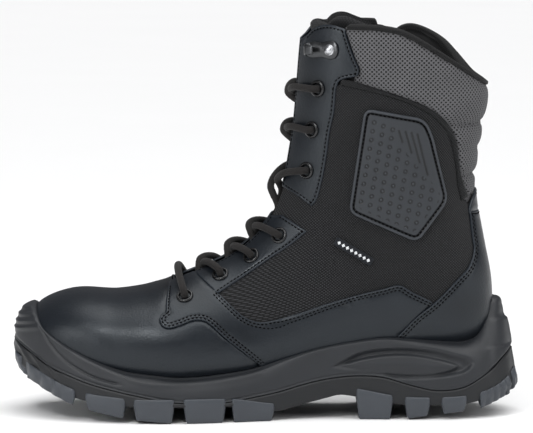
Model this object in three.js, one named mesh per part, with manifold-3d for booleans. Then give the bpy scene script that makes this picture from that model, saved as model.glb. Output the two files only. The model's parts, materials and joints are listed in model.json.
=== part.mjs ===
// Steel toe work boot, left foot: 8-inch laced shaft with a side zip, cup midsole and lugged outsole.
// Millimetres, +Z up, toe towards -X, outer (lateral) side towards -Y.
// Origin: under the centre of the outline, on the plane that the lugs stand on.
import * as THREE from 'three';
import { mergeVertices } from 'three/addons/utils/BufferGeometryUtils.js';
import Module from 'manifold-3d';

const wasm = await Module();
wasm.setup();

// ---------- driving dimensions ----------
const BOOT_LENGTH = 309; // outsole, toe to heel
const SHAFT_SCALE = 1; // heights of the upper above the insole
const CLEARANCE = 0.3; // between any two pieces that touch
const LEATHER = 1.6; // overlay leather thickness
const NYLON = 1.3; // quarter fabric thickness
const LINING = 3.0; // padded lining thickness
const STEEL = 1.5; // toe cap wall
const TONGUE = 4.0; // tongue thickness
const LACE_DIAMETER = 4.4;
const LACE_SIDES = 6;
const EYELET_FIT = 2.4; // the eyelet's bore is wider than the lace by this
const EYELET_RIM = 1.75; // width of the eyelet's flange
const EYELET_BARREL = 0.5; // the hole in the leather is wider than the bore by this all round
const EYELET_FLANGE = 0.9; // flange height above the leather
const EYELET_SEAT = 0.45; // the flat flange's gap to the curved leather
const FACING_GAP = 28; // opening between the two lace facings
const COLLAR_PROUD = 1.0; // collar padding stands out from the leather surface
const ROLL_PROUD = 0.6; // padded roll on the quarter's top edge
const PATCH_PROUD = 1.4; // ankle patch stands out
const BINDING = 3.6; // height of the binding on the top edge
const BOARD = 2.4; // insole board
const FOOTBED = 4.8; // removable footbed
const SHANK = 1.8; // steel shank
const LIP = 2.2; // midsole rim over the leather
const ZIP_SLOT = 22; // width of the slot that the zip lies in
const TEETH_WIDTH = 4.4; // closed zip chain
const TAPE = 0.9; // zip tape thickness
const LACE_SPARE = 0.7; // the lace's height over an eyelet's flange
const AROUND = 18; // facets round the upper
const ALONG = 22; // rings along the upper

const EYELET_BORE = LACE_DIAMETER + EYELET_FIT;
const LACE_RADIUS = LACE_DIAMETER / 2;

// depths below the leather surface, outside to inside
const FABRIC_TOP = LEATHER + CLEARANCE;
const FABRIC_BASE = FABRIC_TOP + NYLON;
const CAP_BASE = FABRIC_TOP + STEEL;
const LINING_TOP = Math.max(FABRIC_BASE, CAP_BASE) + CLEARANCE;
const LINING_BASE = LINING_TOP + LINING;
const LACE_INSIDE = LEATHER + EYELET_FLANGE + LACE_RADIUS + 0.15;
const TONGUE_TOP = Math.max(LACE_INSIDE + LACE_RADIUS + 1.1, LINING_BASE + 0.6);
const TONGUE_BASE = TONGUE_TOP + TONGUE;

// ---------- the upper's surface ----------
// Each station joins a point on the front and top profile to one on the sole and back profile.
// top and base: [x, z]; wide: half widths [lateral, medial]; bias: centre line; belly: where the
// section is widest, as a share from top to base; round: section exponents [top side, base side].
const STATIONS = [
  { top: [-147.5, 47], base: [-147.5, 47], wide: [0, 0], bias: 5, belly: 0.55, round: [2, 2] },
  { top: [-143.5, 61], base: [-142, 36], wide: [24, 24], bias: 5, belly: 0.55, round: [2.1, 2.6] },
  { top: [-134, 69.5], base: [-129, 29.5], wide: [36, 36], bias: 4, belly: 0.58, round: [2.2, 2.9] },
  { top: [-115, 75], base: [-110, 24.5], wide: [45, 44], bias: 3, belly: 0.6, round: [2.2, 3] },
  { top: [-92, 74.5], base: [-84, 21.5], wide: [50.5, 49], bias: 1, belly: 0.62, round: [2.2, 3] },
  { top: [-66, 80], base: [-55, 20], wide: [53, 49.5], bias: -1, belly: 0.62, round: [2.1, 3] },
  { top: [-46, 88], base: [-20, 22], wide: [48, 44], bias: -1, belly: 0.6, round: [2.1, 3] },
  { top: [-27, 97], base: [18, 28], wide: [41, 38], bias: 0, belly: 0.58, round: [2.1, 3] },
  { top: [-12, 109], base: [60, 34], wide: [38, 36], bias: 0, belly: 0.55, round: [2.1, 2.8] },
  { top: [-1, 124], base: [105, 37.5], wide: [38, 36], bias: 0, belly: 0.52, round: [2.1, 2.6] },
  { top: [6, 141], base: [134, 46], wide: [39, 37], bias: 0, belly: 0.5, round: [2.2, 2.4] },
  { top: [11, 162], base: [137, 76], wide: [41, 39], bias: 0, belly: 0.5, round: [2.3, 2.3] },
  { top: [14, 180], base: [132.5, 103], wide: [42, 40], bias: 0, belly: 0.5, round: [2.3, 2.3] },
  { top: [16, 200], base: [127, 134], wide: [43, 41], bias: 0, belly: 0.5, round: [2.3, 2.2] },
  { top: [18, 222], base: [128, 163], wide: [45, 43], bias: 0, belly: 0.5, round: [2.3, 2.2] },
  { top: [20, 240], base: [132, 190], wide: [46, 44], bias: 0, belly: 0.5, round: [2.3, 2.2] },
  { top: [22, 258], base: [134, 216], wide: [47, 45], bias: 0, belly: 0.5, round: [2.3, 2.2] },
];
const LAST = STATIONS.length - 1;
const INSOLE_LEVEL = 34; // heights above this follow SHAFT_SCALE
const LENGTH_SCALE = BOOT_LENGTH / 309;

const scaleX = (x) => x * LENGTH_SCALE;
const scaleZ = (z) => (z > INSOLE_LEVEL ? INSOLE_LEVEL + (z - INSOLE_LEVEL) * SHAFT_SCALE : z);

// Catmull-Rom value of one station field at the real-valued station number s
function blend(read, s) {
  const at = (k) => {
    if (k < 0) return 2 * read(STATIONS[0]) - read(STATIONS[1]);
    if (k > LAST) return 2 * read(STATIONS[LAST]) - read(STATIONS[LAST - 1]);
    return read(STATIONS[k]);
  };
  const i = Math.min(LAST - 1, Math.max(0, Math.floor(s)));
  const f = Math.min(1, Math.max(0, s - i));
  const [a, b, c, d] = [at(i - 1), at(i), at(i + 1), at(i + 2)];
  const square = 2 * a - 5 * b + 4 * c - d;
  const cube = 3 * b - a - 3 * c + d;
  return 0.5 * (2 * b + (c - a) * f + square * f ** 2 + cube * f ** 3);
}

function section(s) {
  return {
    tx: scaleX(blend((q) => q.top[0], s)),
    tz: scaleZ(blend((q) => q.top[1], s)),
    bx: scaleX(blend((q) => q.base[0], s)),
    bz: scaleZ(blend((q) => q.base[1], s)),
    lateral: Math.max(0, blend((q) => q.wide[0], s)),
    medial: Math.max(0, blend((q) => q.wide[1], s)),
    bias: blend((q) => q.bias, s),
    belly: blend((q) => q.belly, s),
    upper: blend((q) => q.round[0], s),
    lower: blend((q) => q.round[1], s),
  };
}

// angle 0 is the top line, PI the sole line; 0..PI runs down the lateral side, PI..2PI up the medial
function surfacePoint(s, angle) {
  const q = section(s);
  const turn = (angle + 2 * Math.PI) % (2 * Math.PI);
  const onMedial = turn > Math.PI;
  const t = onMedial ? 2 * Math.PI - turn : turn;
  const c = Math.cos(t);
  const power = 2 / (c >= 0 ? q.upper : q.lower);
  const along = Math.abs(c) ** power;
  const out = Math.max(0, Math.sin(t)) ** power;
  const share = c >= 0 ? q.belly * (1 - along) : q.belly + (1 - q.belly) * along;
  const y = q.bias + (onMedial ? q.medial : -q.lateral) * out;
  return new THREE.Vector3(q.tx + (q.bx - q.tx) * share, y, q.tz + (q.bz - q.tz) * share);
}

function surfaceNormal(s, angle) {
  const h = 0.02;
  const lo = Math.max(0.05, s - h);
  const hi = Math.min(LAST, s + h);
  const alongS = surfacePoint(hi, angle).sub(surfacePoint(lo, angle));
  const ringAt = Math.max(0.05, s);
  const around = surfacePoint(ringAt, angle + h).sub(surfacePoint(ringAt, angle - h));
  return alongS.cross(around).normalize().negate();
}

// a point raised from the leather surface (negative: sunk below it)
function offsetPoint(s, angle, height) {
  if (s <= 0) return surfacePoint(0, 0).add(new THREE.Vector3(-height, 0, 0));
  return surfacePoint(s, angle).addScaledVector(surfaceNormal(s, angle), height);
}

// the station and angle of the surface point that a side view shows at (x, z)
function findOnSide(x, z, medial) {
  const miss = (s) => {
    const q = section(s);
    return (q.bx - q.tx) * (z - q.tz) - (q.bz - q.tz) * (x - q.tx);
  };
  const steps = 320;
  for (let k = 1; k <= steps; k++) {
    let lo = 0.02 + ((LAST - 0.02) * (k - 1)) / steps;
    let hi = 0.02 + ((LAST - 0.02) * k) / steps;
    if (miss(lo) * miss(hi) > 0) continue;
    for (let j = 0; j < 30; j++) {
      const mid = (lo + hi) / 2;
      if (miss(lo) * miss(mid) <= 0) hi = mid;
      else lo = mid;
    }
    const q = section(lo);
    const length2 = (q.bx - q.tx) ** 2 + (q.bz - q.tz) ** 2;
    const share = ((x - q.tx) * (q.bx - q.tx) + (z - q.tz) * (q.bz - q.tz)) / length2;
    if (share < 0 || share > 1) continue;
    const above = share <= q.belly;
    const reach = above ? 1 - share / q.belly : (share - q.belly) / (1 - q.belly);
    const c = Math.min(1, reach ** ((above ? q.upper : q.lower) / 2));
    const t = Math.acos(above ? c : -c);
    return { s: lo, angle: medial ? 2 * Math.PI - t : t };
  }
  return null;
}

// half width of the upper, raised by height, at a side-view point; the centre line beyond its outline
function widthAt(x, z, medial, height) {
  const found = findOnSide(x, z, medial);
  if (!found) return 0;
  const p = offsetPoint(found.s, found.angle, height);
  return Math.max(0, medial ? p.y : -p.y);
}

// a point over the front opening: station, distance across, height over the leather surface
function frontPoint(s, y, height) {
  const q = section(s);
  const medial = y > q.bias;
  const reach = Math.min(1, Math.abs(y - q.bias) / (medial ? q.medial : q.lateral));
  const t = Math.asin(reach ** (q.upper / 2));
  return offsetPoint(s, medial ? 2 * Math.PI - t : t, height);
}

// ---------- solids ----------
function toSolid(geometry) {
  const plain = geometry.clone();
  plain.deleteAttribute('normal');
  plain.deleteAttribute('uv');
  const merged = mergeVertices(plain, 1e-4);
  return new wasm.Manifold(new wasm.Mesh({
    numProp: 3,
    vertProperties: new Float32Array(merged.attributes.position.array),
    triVerts: new Uint32Array(merged.index.array),
  }));
}

function toGeometry(solid) {
  const { vertProperties, triVerts } = solid.getMesh();
  const geometry = new THREE.BufferGeometry();
  geometry.setAttribute('position', new THREE.BufferAttribute(vertProperties, 3));
  geometry.setIndex(new THREE.BufferAttribute(triVerts, 1));
  geometry.computeVertexNormals();
  return geometry;
}

function meshFrom(points, triangles) {
  const geometry = new THREE.BufferGeometry();
  const flat = points.flatMap((p) => [p.x, p.y, p.z]);
  geometry.setAttribute('position', new THREE.Float32BufferAttribute(flat, 3));
  geometry.setIndex(triangles.flat());
  return geometry;
}

// the space between two heights over the whole surface, open at the top; inner null fills it
function sock(outer, inner) {
  const points = [];
  const triangles = [];
  const layer = (height, flip) => {
    const start = points.length;
    points.push(offsetPoint(0, 0, height));
    for (let r = 1; r <= ALONG; r++) {
      const s = LAST * (r / ALONG) ** 1.08;
      for (let k = 0; k < AROUND; k++) points.push(offsetPoint(s, (2 * Math.PI * k) / AROUND, height));
    }
    const at = (r, k) => start + 1 + (r - 1) * AROUND + (k % AROUND);
    const add = (a, b, c) => triangles.push(flip ? [a, b, c] : [a, c, b]);
    for (let k = 0; k < AROUND; k++) {
      add(start, at(1, k), at(1, k + 1));
      for (let r = 1; r < ALONG; r++) {
        add(at(r, k), at(r + 1, k), at(r + 1, k + 1));
        add(at(r, k), at(r + 1, k + 1), at(r, k + 1));
      }
    }
    return (k) => at(ALONG, k);
  };
  const rim = layer(outer, false);
  if (inner === null) {
    for (let k = 1; k < AROUND - 1; k++) triangles.push([rim(0), rim(k), rim(k + 1)]);
    return toSolid(meshFrom(points, triangles));
  }
  const innerRim = layer(inner, true);
  for (let k = 0; k < AROUND; k++) {
    triangles.push([rim(k), innerRim(k + 1), innerRim(k)]);
    triangles.push([rim(k), rim(k + 1), innerRim(k + 1)]);
  }
  return toSolid(meshFrom(points, triangles));
}

// a plate that follows the surface between two stations and two angles
function patch(s0, s1, angle0, angle1, outer, inner, rows, columns, stretch = () => 1) {
  const points = [];
  const triangles = [];
  const grid = (height) => {
    const start = points.length;
    for (let r = 0; r <= rows; r++) {
      const s = s0 + ((s1 - s0) * r) / rows;
      const middle = (angle0 + angle1) / 2;
      for (let k = 0; k <= columns; k++) {
        const swing = (((angle1 - angle0) / 2) * (2 * k - columns)) / columns;
        points.push(offsetPoint(s, middle + swing * stretch(r / rows), height));
      }
    }
    return (r, k) => start + r * (columns + 1) + k;
  };
  const a = grid(outer);
  const b = grid(inner);
  for (let r = 0; r < rows; r++) {
    for (let k = 0; k < columns; k++) {
      triangles.push([a(r, k), a(r + 1, k + 1), a(r + 1, k)], [a(r, k), a(r, k + 1), a(r + 1, k + 1)]);
      triangles.push([b(r, k), b(r + 1, k), b(r + 1, k + 1)], [b(r, k), b(r + 1, k + 1), b(r, k + 1)]);
    }
    triangles.push([a(r, 0), b(r + 1, 0), b(r, 0)], [a(r, 0), a(r + 1, 0), b(r + 1, 0)]);
    const c = columns;
    triangles.push([a(r, c), b(r, c), b(r + 1, c)], [a(r, c), b(r + 1, c), a(r + 1, c)]);
  }
  for (let k = 0; k < columns; k++) {
    triangles.push([a(0, k), b(0, k), b(0, k + 1)], [a(0, k), b(0, k + 1), a(0, k + 1)]);
    triangles.push([a(rows, k), b(rows, k + 1), b(rows, k)], [a(rows, k), a(rows, k + 1), b(rows, k + 1)]);
  }
  return toSolid(meshFrom(points, triangles));
}

// ---------- side-view outlines, [x, z] ----------
// An outline is a list of runs; the points inside a run are joined by a smooth curve, runs by corners.
const EAVES = 300; // far outside the boot, for outlines that run past its edge
const OUTLINE_STEPS = 1; // straight pieces for each point of a smooth run

const UPPER_EYESTAY = [
  [[0, 250], [0, 232]],
  [[0, 232], [2, 136]],
  [[2, 136], [19, 134.5], [26.5, 128.5]],
  [[26.5, 128.5], [29.5, 131.5], [33, 144], [36, 160], [38, 175], [40.5, 186], [41, 199]],
  [[41, 199], [43, 204.5], [54.5, 208]],
  [[54.5, 208], [55, 212], [48, 230], [46.5, 250]],
];
const LOWER_EYESTAY = [
  [[-46, 90], [-29.5, 76.5]],
  [[-29.5, 76.5], [-14, 86], [3, 97.5], [15, 105.5], [24.5, 113.2]],
  [[24.5, 113.2], [9.5, 122.5]],
  [[9.5, 122.5], [-10, 135]],
];
const MUDGUARD = [
  [[-47, 92], [-29.2, 76.8]],
  [[-29.2, 76.8], [-21, 70], [-13.5, 63.5], [-5, 60], [3, 60.5], [18.5, 64.5], [34, 69.5], [55, 75.5],
    [70, 79]],
  [[70, 79], [80, 82], [99, 71.8], [112, 66]],
  [[112, 66], [112, 20], [0, 10]],
  [[0, 10], [-4.5, 33.5], [-13.5, 41.5], [-24.5, 50.5], [-34, 59], [-44, 61.5], [-59.5, 57]],
  [[-59.5, 57], [-63.2, 59.5], [-64, 63.5], [-60.3, 66]],
  [[-60.3, 66], [-60.3, 76], [-57, 84], [-55, 95]],
];
const HEEL_COUNTER = [
  [[66, 30], [79, 49.8], [89.5, 61], [100.5, 70], [114.5, 84], [121.8, 91.6], [125.3, 101], [124.3, 110]],
  [[124.3, 110], [122.5, 124.5]],
  [[122.5, 124.5], [136, 126.5]],
  [[136, 126.5], [170, 120]],
  [[170, 120], [170, 10]],
  [[170, 10], [66, 10]],
];
const HEEL_TAB = [
  [[122.4, 125.5], [122.8, 128.6]],
  [[122.8, 128.6], [130, 139]],
  [[130, 139], [150, 136]],
  [[150, 136], [150, 125]],
];
const ANKLE_PATCH = [
  [[59.5, 188.5], [93, 182.2]],
  [[93, 182.2], [98.3, 175.5]],
  [[98.3, 175.5], [108.4, 133.5]],
  [[108.4, 133.5], [107.2, 130], [92, 110.5]],
  [[92, 110.5], [88, 108.8], [51.8, 124.8]],
  [[51.8, 124.8], [49.8, 128.2], [57.6, 186]],
];
const ROLL_TOP = [[44.5, 206], [55.5, 203.5], [83, 194.7], [98.5, 187.7], [109, 178.5], [114, 168.5],
  [117, 149.5], [122, 133.5]];
const ROLL_BASE = [[118, 132], [116, 140], [113.8, 156], [109.5, 172], [101.5, 181.9], [86.4, 191],
  [67.2, 197.2], [43.7, 202.5]];
const QUARTER_ROLL = [ROLL_TOP, [[122, 133.5], [118, 132]], ROLL_BASE];
const COLLAR = [
  [[43, 262], [47.5, 230], [54.5, 212], [55.5, 203.5]],
  ROLL_TOP.slice(1),
  [[122, 133.5], [131, 140], [160, 146]],
  [[160, 146], [160, 262]],
];
const RIM = [[10, 224], [22.4, 229], [28, 235.5], [34, 238], [47, 237.6], [69.4, 236.6], [81.6, 233.6],
  [106, 219.5], [130.4, 203.4], [150, 192]];
const ABOVE_RIM = [
  RIM,
  [[150, 192], [EAVES, 192]],
  [[EAVES, 192], [EAVES, EAVES]],
  [[EAVES, EAVES], [0, EAVES]],
];
// the lace opening, where only the tongue lies under the facings
const THROAT = [
  [[-63, 100], [-57, 70]],
  [[-57, 70], [-40, 68.5], [-24, 76], [-5, 87], [14, 101], [30, 118], [33, 150], [36, 175], [40, 200],
    [43.5, 222]],
  [[43.5, 222], [45, EAVES]],
  [[45, EAVES], [-63, EAVES]],
];
const QUARTER = [
  [[-18, 84], [14, 103], [31, 120], [34, 150], [37, 175], [41, 198]],
  [[41, 198], [45, 205.2], [67.5, 199.8], [87.5, 193.4], [103, 184.2], [112.2, 173], [116, 157], [118, 141],
    [121, 132]],
  [[121, 132], [128.5, 122]],
  [[128.5, 122], [130.5, 101], [127, 88], [119, 78], [104, 64]],
  [[104, 64], [85, 60], [20, 55], [-8, 53], [-22, 62]],
];
const STIFFENER = [
  [[128.9, 121.8], [131, 101], [127.5, 87.5], [119.5, 77.5], [104.5, 63.5]],
  [[104.5, 63.5], [92, 52], [86, 20]],
  [[86, 20], [170, 20]],
  [[170, 20], [170, 121.8]],
];
const TONGUE_OUTLINE = [
  [[-70, 100], [-70, 66]],
  [[-70, 66], [-45, 62], [-24, 66], [0, 78], [22, 94], [42, 116], [46, 150], [50, 180], [60, 205],
    [74, 229]],
  [[74, 229], [64, 238.5], [46, 242.3], [34, 240], [24, 233]],
  [[24, 233], [-30, 240]],
];
const TOE_CAP_BACK = -95;
const TOE_CAP_STRIP = 7;
const LINING_SEAMS = [-25, 96]; // where the vamp, side and heel linings are sewn together
const COLLAR_LINE = RIM.map(([x, z]) => [x, z - BINDING]);

function outline(runs, shift = 0) {
  const shape = new THREE.Shape();
  const place = ([x, z]) => new THREE.Vector2(scaleX(x) + shift, scaleZ(z));
  const first = place(runs[0][0]);
  shape.moveTo(first.x, first.y);
  for (const run of runs) {
    const points = run.slice(1).map(place);
    if (points.length === 1) shape.lineTo(points[0].x, points[0].y);
    else shape.splineThru(points);
  }
  shape.closePath();
  const points = shape.getPoints(OUTLINE_STEPS);
  return points.filter((p, i) => p.distanceTo(points[(i + 1) % points.length]) > 0.05);
}

// pushes an outline outwards (or inwards) by an even distance
function grow(points, distance) {
  const sign = THREE.ShapeUtils.area(points) > 0 ? 1 : -1;
  return points.map((p, i) => {
    const a = points[(i + points.length - 1) % points.length];
    const b = points[(i + 1) % points.length];
    const u = p.clone().sub(a).normalize();
    const v = b.clone().sub(p).normalize();
    const bisector = new THREE.Vector2(u.y + v.y, -u.x - v.x).normalize();
    const cosine = Math.max(0.5, bisector.dot(new THREE.Vector2(u.y, -u.x)));
    return p.clone().addScaledVector(bisector, (sign * distance) / cosine);
  });
}

// a side-view outline carried across the boot from y = from to y = to
function prism(points, from, to) {
  const settings = { depth: to - from, bevelEnabled: false };
  const geometry = new THREE.ExtrudeGeometry(new THREE.Shape(points), settings);
  geometry.rotateX(Math.PI / 2);
  geometry.translate(0, to, 0);
  return toSolid(geometry);
}

const REACH = 90; // beyond the widest point of the boot
const HALF_GAP = FACING_GAP / 2;
const bothSides = (points) => prism(points, -REACH, REACH);
function oneSide(points, medial, inset = 0) {
  return medial ? prism(points, inset, REACH) : prism(points, -REACH, -inset);
}

// ---------- shells of the upper ----------
const SOLE_ANGLE = 0.72; // half angle of the flat sole side, from the sole line
const HEEL_STATION = 9.75; // where the flat sole side ends under the heel

function soleStretch(share) {
  const ends = Math.min(share / 0.12, (1 - share) / 0.1, 1);
  return 0.55 + 0.45 * Math.sin((Math.PI / 2) * ends);
}

function solePlate(extra, outer, inner, from = 0.55, to = HEEL_STATION) {
  const half = SOLE_ANGLE + extra;
  const [start, end] = [from - extra * 2, to + extra * 2];
  return patch(start, end, Math.PI - half, Math.PI + half, outer, inner, 12, 4, soleStretch);
}

const soleCut = solePlate(0.05, 3, -FOOTBED - BOARD - 3);
const rimCut = bothSides(outline(ABOVE_RIM));
const belowBinding = [
  COLLAR_LINE,
  [[150, 192 - BINDING], [EAVES, 190]],
  [[EAVES, 190], [EAVES, EAVES]],
  [[EAVES, EAVES], [0, EAVES]],
];
const bindingCut = bothSides(outline(belowBinding));
const trimmed = (solid) => solid.subtract(soleCut).subtract(rimCut);
const leatherShell = trimmed(sock(0, -LEATHER));
const fabricShell = trimmed(sock(-FABRIC_TOP, -FABRIC_BASE));
const steelShell = trimmed(sock(-FABRIC_TOP, -CAP_BASE));
const liningShell = trimmed(sock(-LINING_TOP, -LINING_BASE));
const rollShell = trimmed(sock(ROLL_PROUD, -LEATHER));
const patchShell = trimmed(sock(PATCH_PROUD, -LEATHER));
const collarShell = sock(COLLAR_PROUD, -LINING_TOP + CLEARANCE).subtract(bindingCut);
const tongueShell = sock(-TONGUE_TOP, -TONGUE_BASE);

// ---------- the zip's straight line on the medial side ----------
const ZIP_TOP = { x: 79, z: 226 };
const ZIP_BASE = { x: 66, z: 88 };
const ZIP_LEAN = (ZIP_TOP.x - ZIP_BASE.x) / (ZIP_TOP.z - ZIP_BASE.z);
const zipLean = (z) => ZIP_BASE.x + ZIP_LEAN * (z - ZIP_BASE.z);

function zipSlot(half, base, top) {
  const corner = (side, z) => [zipLean(z) + side * half, z];
  const [a, b, c, d] = [corner(-1, base), corner(1, base), corner(1, top), corner(-1, top)];
  return [[a, b], [b, c], [c, d]];
}

const slotCut = oneSide(outline(zipSlot(ZIP_SLOT / 2, ZIP_BASE.z - 4, EAVES)), true);

// ---------- materials ----------
function finish(color, roughness, metalness = 0) {
  return new THREE.MeshStandardMaterial({ color, roughness, metalness });
}
const MATERIAL = {
  leather: finish(0x1b1d20, 0.42),
  nylon: finish(0x131416, 0.85),
  mesh: finish(0x3a3b3d, 0.9),
  roll: finish(0x17181a, 0.8),
  binding: finish(0x101113, 0.7),
  lining: finish(0x1d1d1f, 0.95),
  patch: finish(0x454950, 0.6),
  midsole: finish(0x26282b, 0.6),
  outsole: finish(0x1c1e21, 0.65),
  lace: finish(0x1a1715, 0.9),
  gunmetal: finish(0x2a2b2d, 0.3, 0.9),
  bright: finish(0xb8babd, 0.25, 1),
  steel: finish(0x8d9094, 0.4, 1),
  zip: finish(0x0d0e0f, 0.5),
  board: finish(0x6c6459, 0.9),
  footbed: finish(0x2c2d30, 0.95),
  plastic: finish(0x141517, 0.5),
  label: finish(0x0b0b0c, 0.7),
};

const boot = new THREE.Group();
function add(name, shape, material, parent = boot) {
  const geometry = shape.isBufferGeometry ? shape : toGeometry(shape);
  const mesh = new THREE.Mesh(geometry, material);
  mesh.name = name;
  parent.add(mesh);
  return mesh;
}

// ---------- leather, fabric and collar panels ----------
const outlines = {
  upperEyestay: outline(UPPER_EYESTAY),
  lowerEyestay: outline(LOWER_EYESTAY),
  mudguard: outline(MUDGUARD),
  counter: outline(HEEL_COUNTER),
  roll: outline(QUARTER_ROLL),
  collar: outline(COLLAR),
};
const throatCut = bothSides(outline(THROAT));
const wider = (name) => grow(outlines[name], CLEARANCE);

function addFacings(side, medial) {
  const cut = (name) => oneSide(outlines[name], medial, HALF_GAP);
  const punched = leatherShell.subtract(eyeletHoles(medial));
  add(`upper_eyestay_${side}`, punched.intersect(cut('upperEyestay')), MATERIAL.leather);
  add(`lower_eyestay_${side}`, punched.intersect(cut('lowerEyestay')), MATERIAL.leather);
  const guard = punched
    .intersect(cut('mudguard'))
    .subtract(bothSides(wider('lowerEyestay')))
    .subtract(bothSides(wider('counter')));
  add(`mudguard_${side}`, guard, MATERIAL.leather);
}

function addVamp() {
  const behind = bothSides(outline([[[-56, 72], [-57, EAVES]], [[-57, EAVES], [EAVES, EAVES]],
    [[EAVES, EAVES], [EAVES, 0]], [[EAVES, 0], [0, 0]], [[0, 0], [0, 36]], [[0, 36], [-34, 64]],
    [[-34, 64], [-56, 72]]]));
  const vamp = leatherShell.subtract(behind).subtract(bothSides(wider('mudguard')));
  add('vamp', vamp, MATERIAL.leather);
}

function addHeel() {
  add('heel_counter', leatherShell.intersect(bothSides(outlines.counter)), MATERIAL.leather);
  const tab = leatherShell.intersect(bothSides(outline(HEEL_TAB))).subtract(bothSides(wider('counter')));
  add('heel_tab', tab, MATERIAL.leather);
  add('heel_stiffener', fabricShell.intersect(bothSides(outline(STIFFENER))), MATERIAL.board);
}

function addQuarters() {
  const cloth = fabricShell.intersect(bothSides(outline(QUARTER))).subtract(bothSides(wider('collar')));
  const roll = rollShell.intersect(bothSides(outlines.roll)).subtract(bothSides(wider('upperEyestay')));
  const lateral = (solid) => solid.trimByPlane([0, -1, 0], 0);
  const medial = (solid) => solid.trimByPlane([0, 1, 0], 0).subtract(slotCut);
  add('quarter_lateral', lateral(cloth), MATERIAL.nylon);
  add('quarter_medial', medial(cloth), MATERIAL.nylon);
  add('quarter_roll_lateral', lateral(roll), MATERIAL.roll);
  const rollParts = split(medial(roll));
  add('quarter_roll_medial_front', rollParts[0], MATERIAL.roll);
  add('quarter_roll_medial_rear', rollParts[1], MATERIAL.roll);
  add('ankle_patch', patchShell.intersect(oneSide(outline(ANKLE_PATCH), false)), MATERIAL.patch);
}

// the two largest loose pieces of a solid, front one first
function split(solid) {
  const centre = (piece) => piece.boundingBox().min[0];
  const parts = solid.decompose().sort((a, b) => b.volume() - a.volume());
  return parts.slice(0, 2).sort((a, b) => centre(a) - centre(b));
}

function addCollar() {
  const pad = collarShell
    .intersect(bothSides(outlines.collar))
    .subtract(bothSides(wider('upperEyestay')))
    .subtract(bothSides(wider('roll')))
    .subtract(bothSides(grow(outline(HEEL_TAB), CLEARANCE)));
  const halfGap = CLEARANCE / 2;
  add('collar_lateral', pad.trimByPlane([0, -1, 0], halfGap), MATERIAL.mesh);
  const [front, rear] = split(pad.trimByPlane([0, 1, 0], halfGap).subtract(slotCut));
  add('collar_medial_front', front, MATERIAL.mesh);
  add('collar_medial_rear', rear, MATERIAL.mesh);
}

function addBinding() {
  const band = sock(COLLAR_PROUD + 0.4, -LINING_BASE - 0.4).subtract(rimCut);
  const underside = belowBinding.map((run) => run.map(([x, z]) => [x, z + CLEARANCE]));
  const strip = band.intersect(bothSides(outline(underside)));
  const behindEyestay = [
    [[47.5, 215], [EAVES, 150]],
    [[EAVES, 150], [EAVES, EAVES]],
    [[EAVES, EAVES], [47.5, EAVES]],
  ];
  const parts = strip.intersect(bothSides(outline(behindEyestay))).subtract(slotCut).decompose();
  const [main, front] = parts.sort((a, b) => b.volume() - a.volume());
  add('collar_binding', main, MATERIAL.binding);
  add('collar_binding_medial_front', front, MATERIAL.binding);
}

function addInner() {
  const lining = liningShell.subtract(throatCut).subtract(bindingCut);
  const [vampSeam, heelSeam] = LINING_SEAMS.map(scaleX);
  const halfGap = CLEARANCE / 2;
  const sides = lining.trimByPlane([1, 0, 0], vampSeam + halfGap)
    .trimByPlane([-1, 0, 0], halfGap - heelSeam);
  add('lining_vamp', lining.trimByPlane([-1, 0, 0], halfGap - vampSeam), MATERIAL.lining);
  add('lining_lateral', sides.trimByPlane([0, -1, 0], halfGap), MATERIAL.lining);
  add('lining_medial', sides.trimByPlane([0, 1, 0], halfGap), MATERIAL.lining);
  add('lining_heel', lining.trimByPlane([1, 0, 0], heelSeam + halfGap), MATERIAL.lining);
  const front = [[[-EAVES, EAVES], [-EAVES, 0]], [[-EAVES, 0], [TOE_CAP_BACK, 0]], [[TOE_CAP_BACK, 0],
    [TOE_CAP_BACK, EAVES]]];
  add('steel_toe_cap', steelShell.intersect(bothSides(outline(front))), MATERIAL.steel);
  const start = TOE_CAP_BACK + CLEARANCE;
  const end = TOE_CAP_BACK + TOE_CAP_STRIP;
  const strip = [[[start, EAVES], [start, 0]], [[start, 0], [end, 0]], [[end, 0], [end, EAVES]]];
  add('toe_cap_edge_strip', fabricShell.intersect(bothSides(outline(strip))), MATERIAL.plastic);
  const tongue = tongueShell.intersect(bothSides(outline(TONGUE_OUTLINE))).subtract(prism(outline([
    [[24, 120], [EAVES, 60]], [[EAVES, 60], [EAVES, EAVES]], [[EAVES, EAVES], [85, EAVES]]]), -1, 1));
  add('tongue', tongue, MATERIAL.nylon);
  add('insole_board', sock(0, -BOARD).intersect(solePlate(0, 3, -BOARD - 3)), MATERIAL.board);
  const bedTop = -BOARD - CLEARANCE;
  const bedPlan = solePlate(-0.06, 3, bedTop - FOOTBED - 3, 0.9, HEEL_STATION - 0.15);
  add('footbed', sock(bedTop, bedTop - FOOTBED).intersect(bedPlan), MATERIAL.footbed);
}

// ---------- sole ----------
// lines seen from the side, [x, z], toe to heel
const RIM_LINE = [[-141, 67.5], [-138.7, 61], [-134.4, 53.8], [-123.4, 46.4], [-110.6, 39.9],
  [-98, 34.7], [-84, 30.6], [-68, 28.6], [-52.6, 27], [-39.8, 27.3], [-24.3, 28.8], [-8.7, 31.2],
  [14.5, 38.4], [30.3, 42.9], [51, 46.9], [70.6, 49.4], [86.4, 48.6], [102.3, 47], [117.9, 46],
  [124.3, 47.5], [129.7, 51], [133.5, 56.5], [135.2, 63], [136.9, 70.5], [139.4, 72.5]];
const PARTING = [[-156, 46], [-148, 42], [-141.7, 38.5], [-130.7, 32], [-120.3, 28], [-106.3, 23.2],
  [-92.3, 19.8], [-75, 16.2], [-55.4, 12.8], [-24.3, 12.2], [-8.7, 14.5], [6.9, 17.4], [22.4, 21.7],
  [38, 25], [54.7, 26.5], [70.6, 25.5], [86.4, 21], [102.3, 17.7], [117.9, 19.2], [129.7, 24.7],
  [140, 30.5], [148, 36], [156, 41]];
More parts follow.
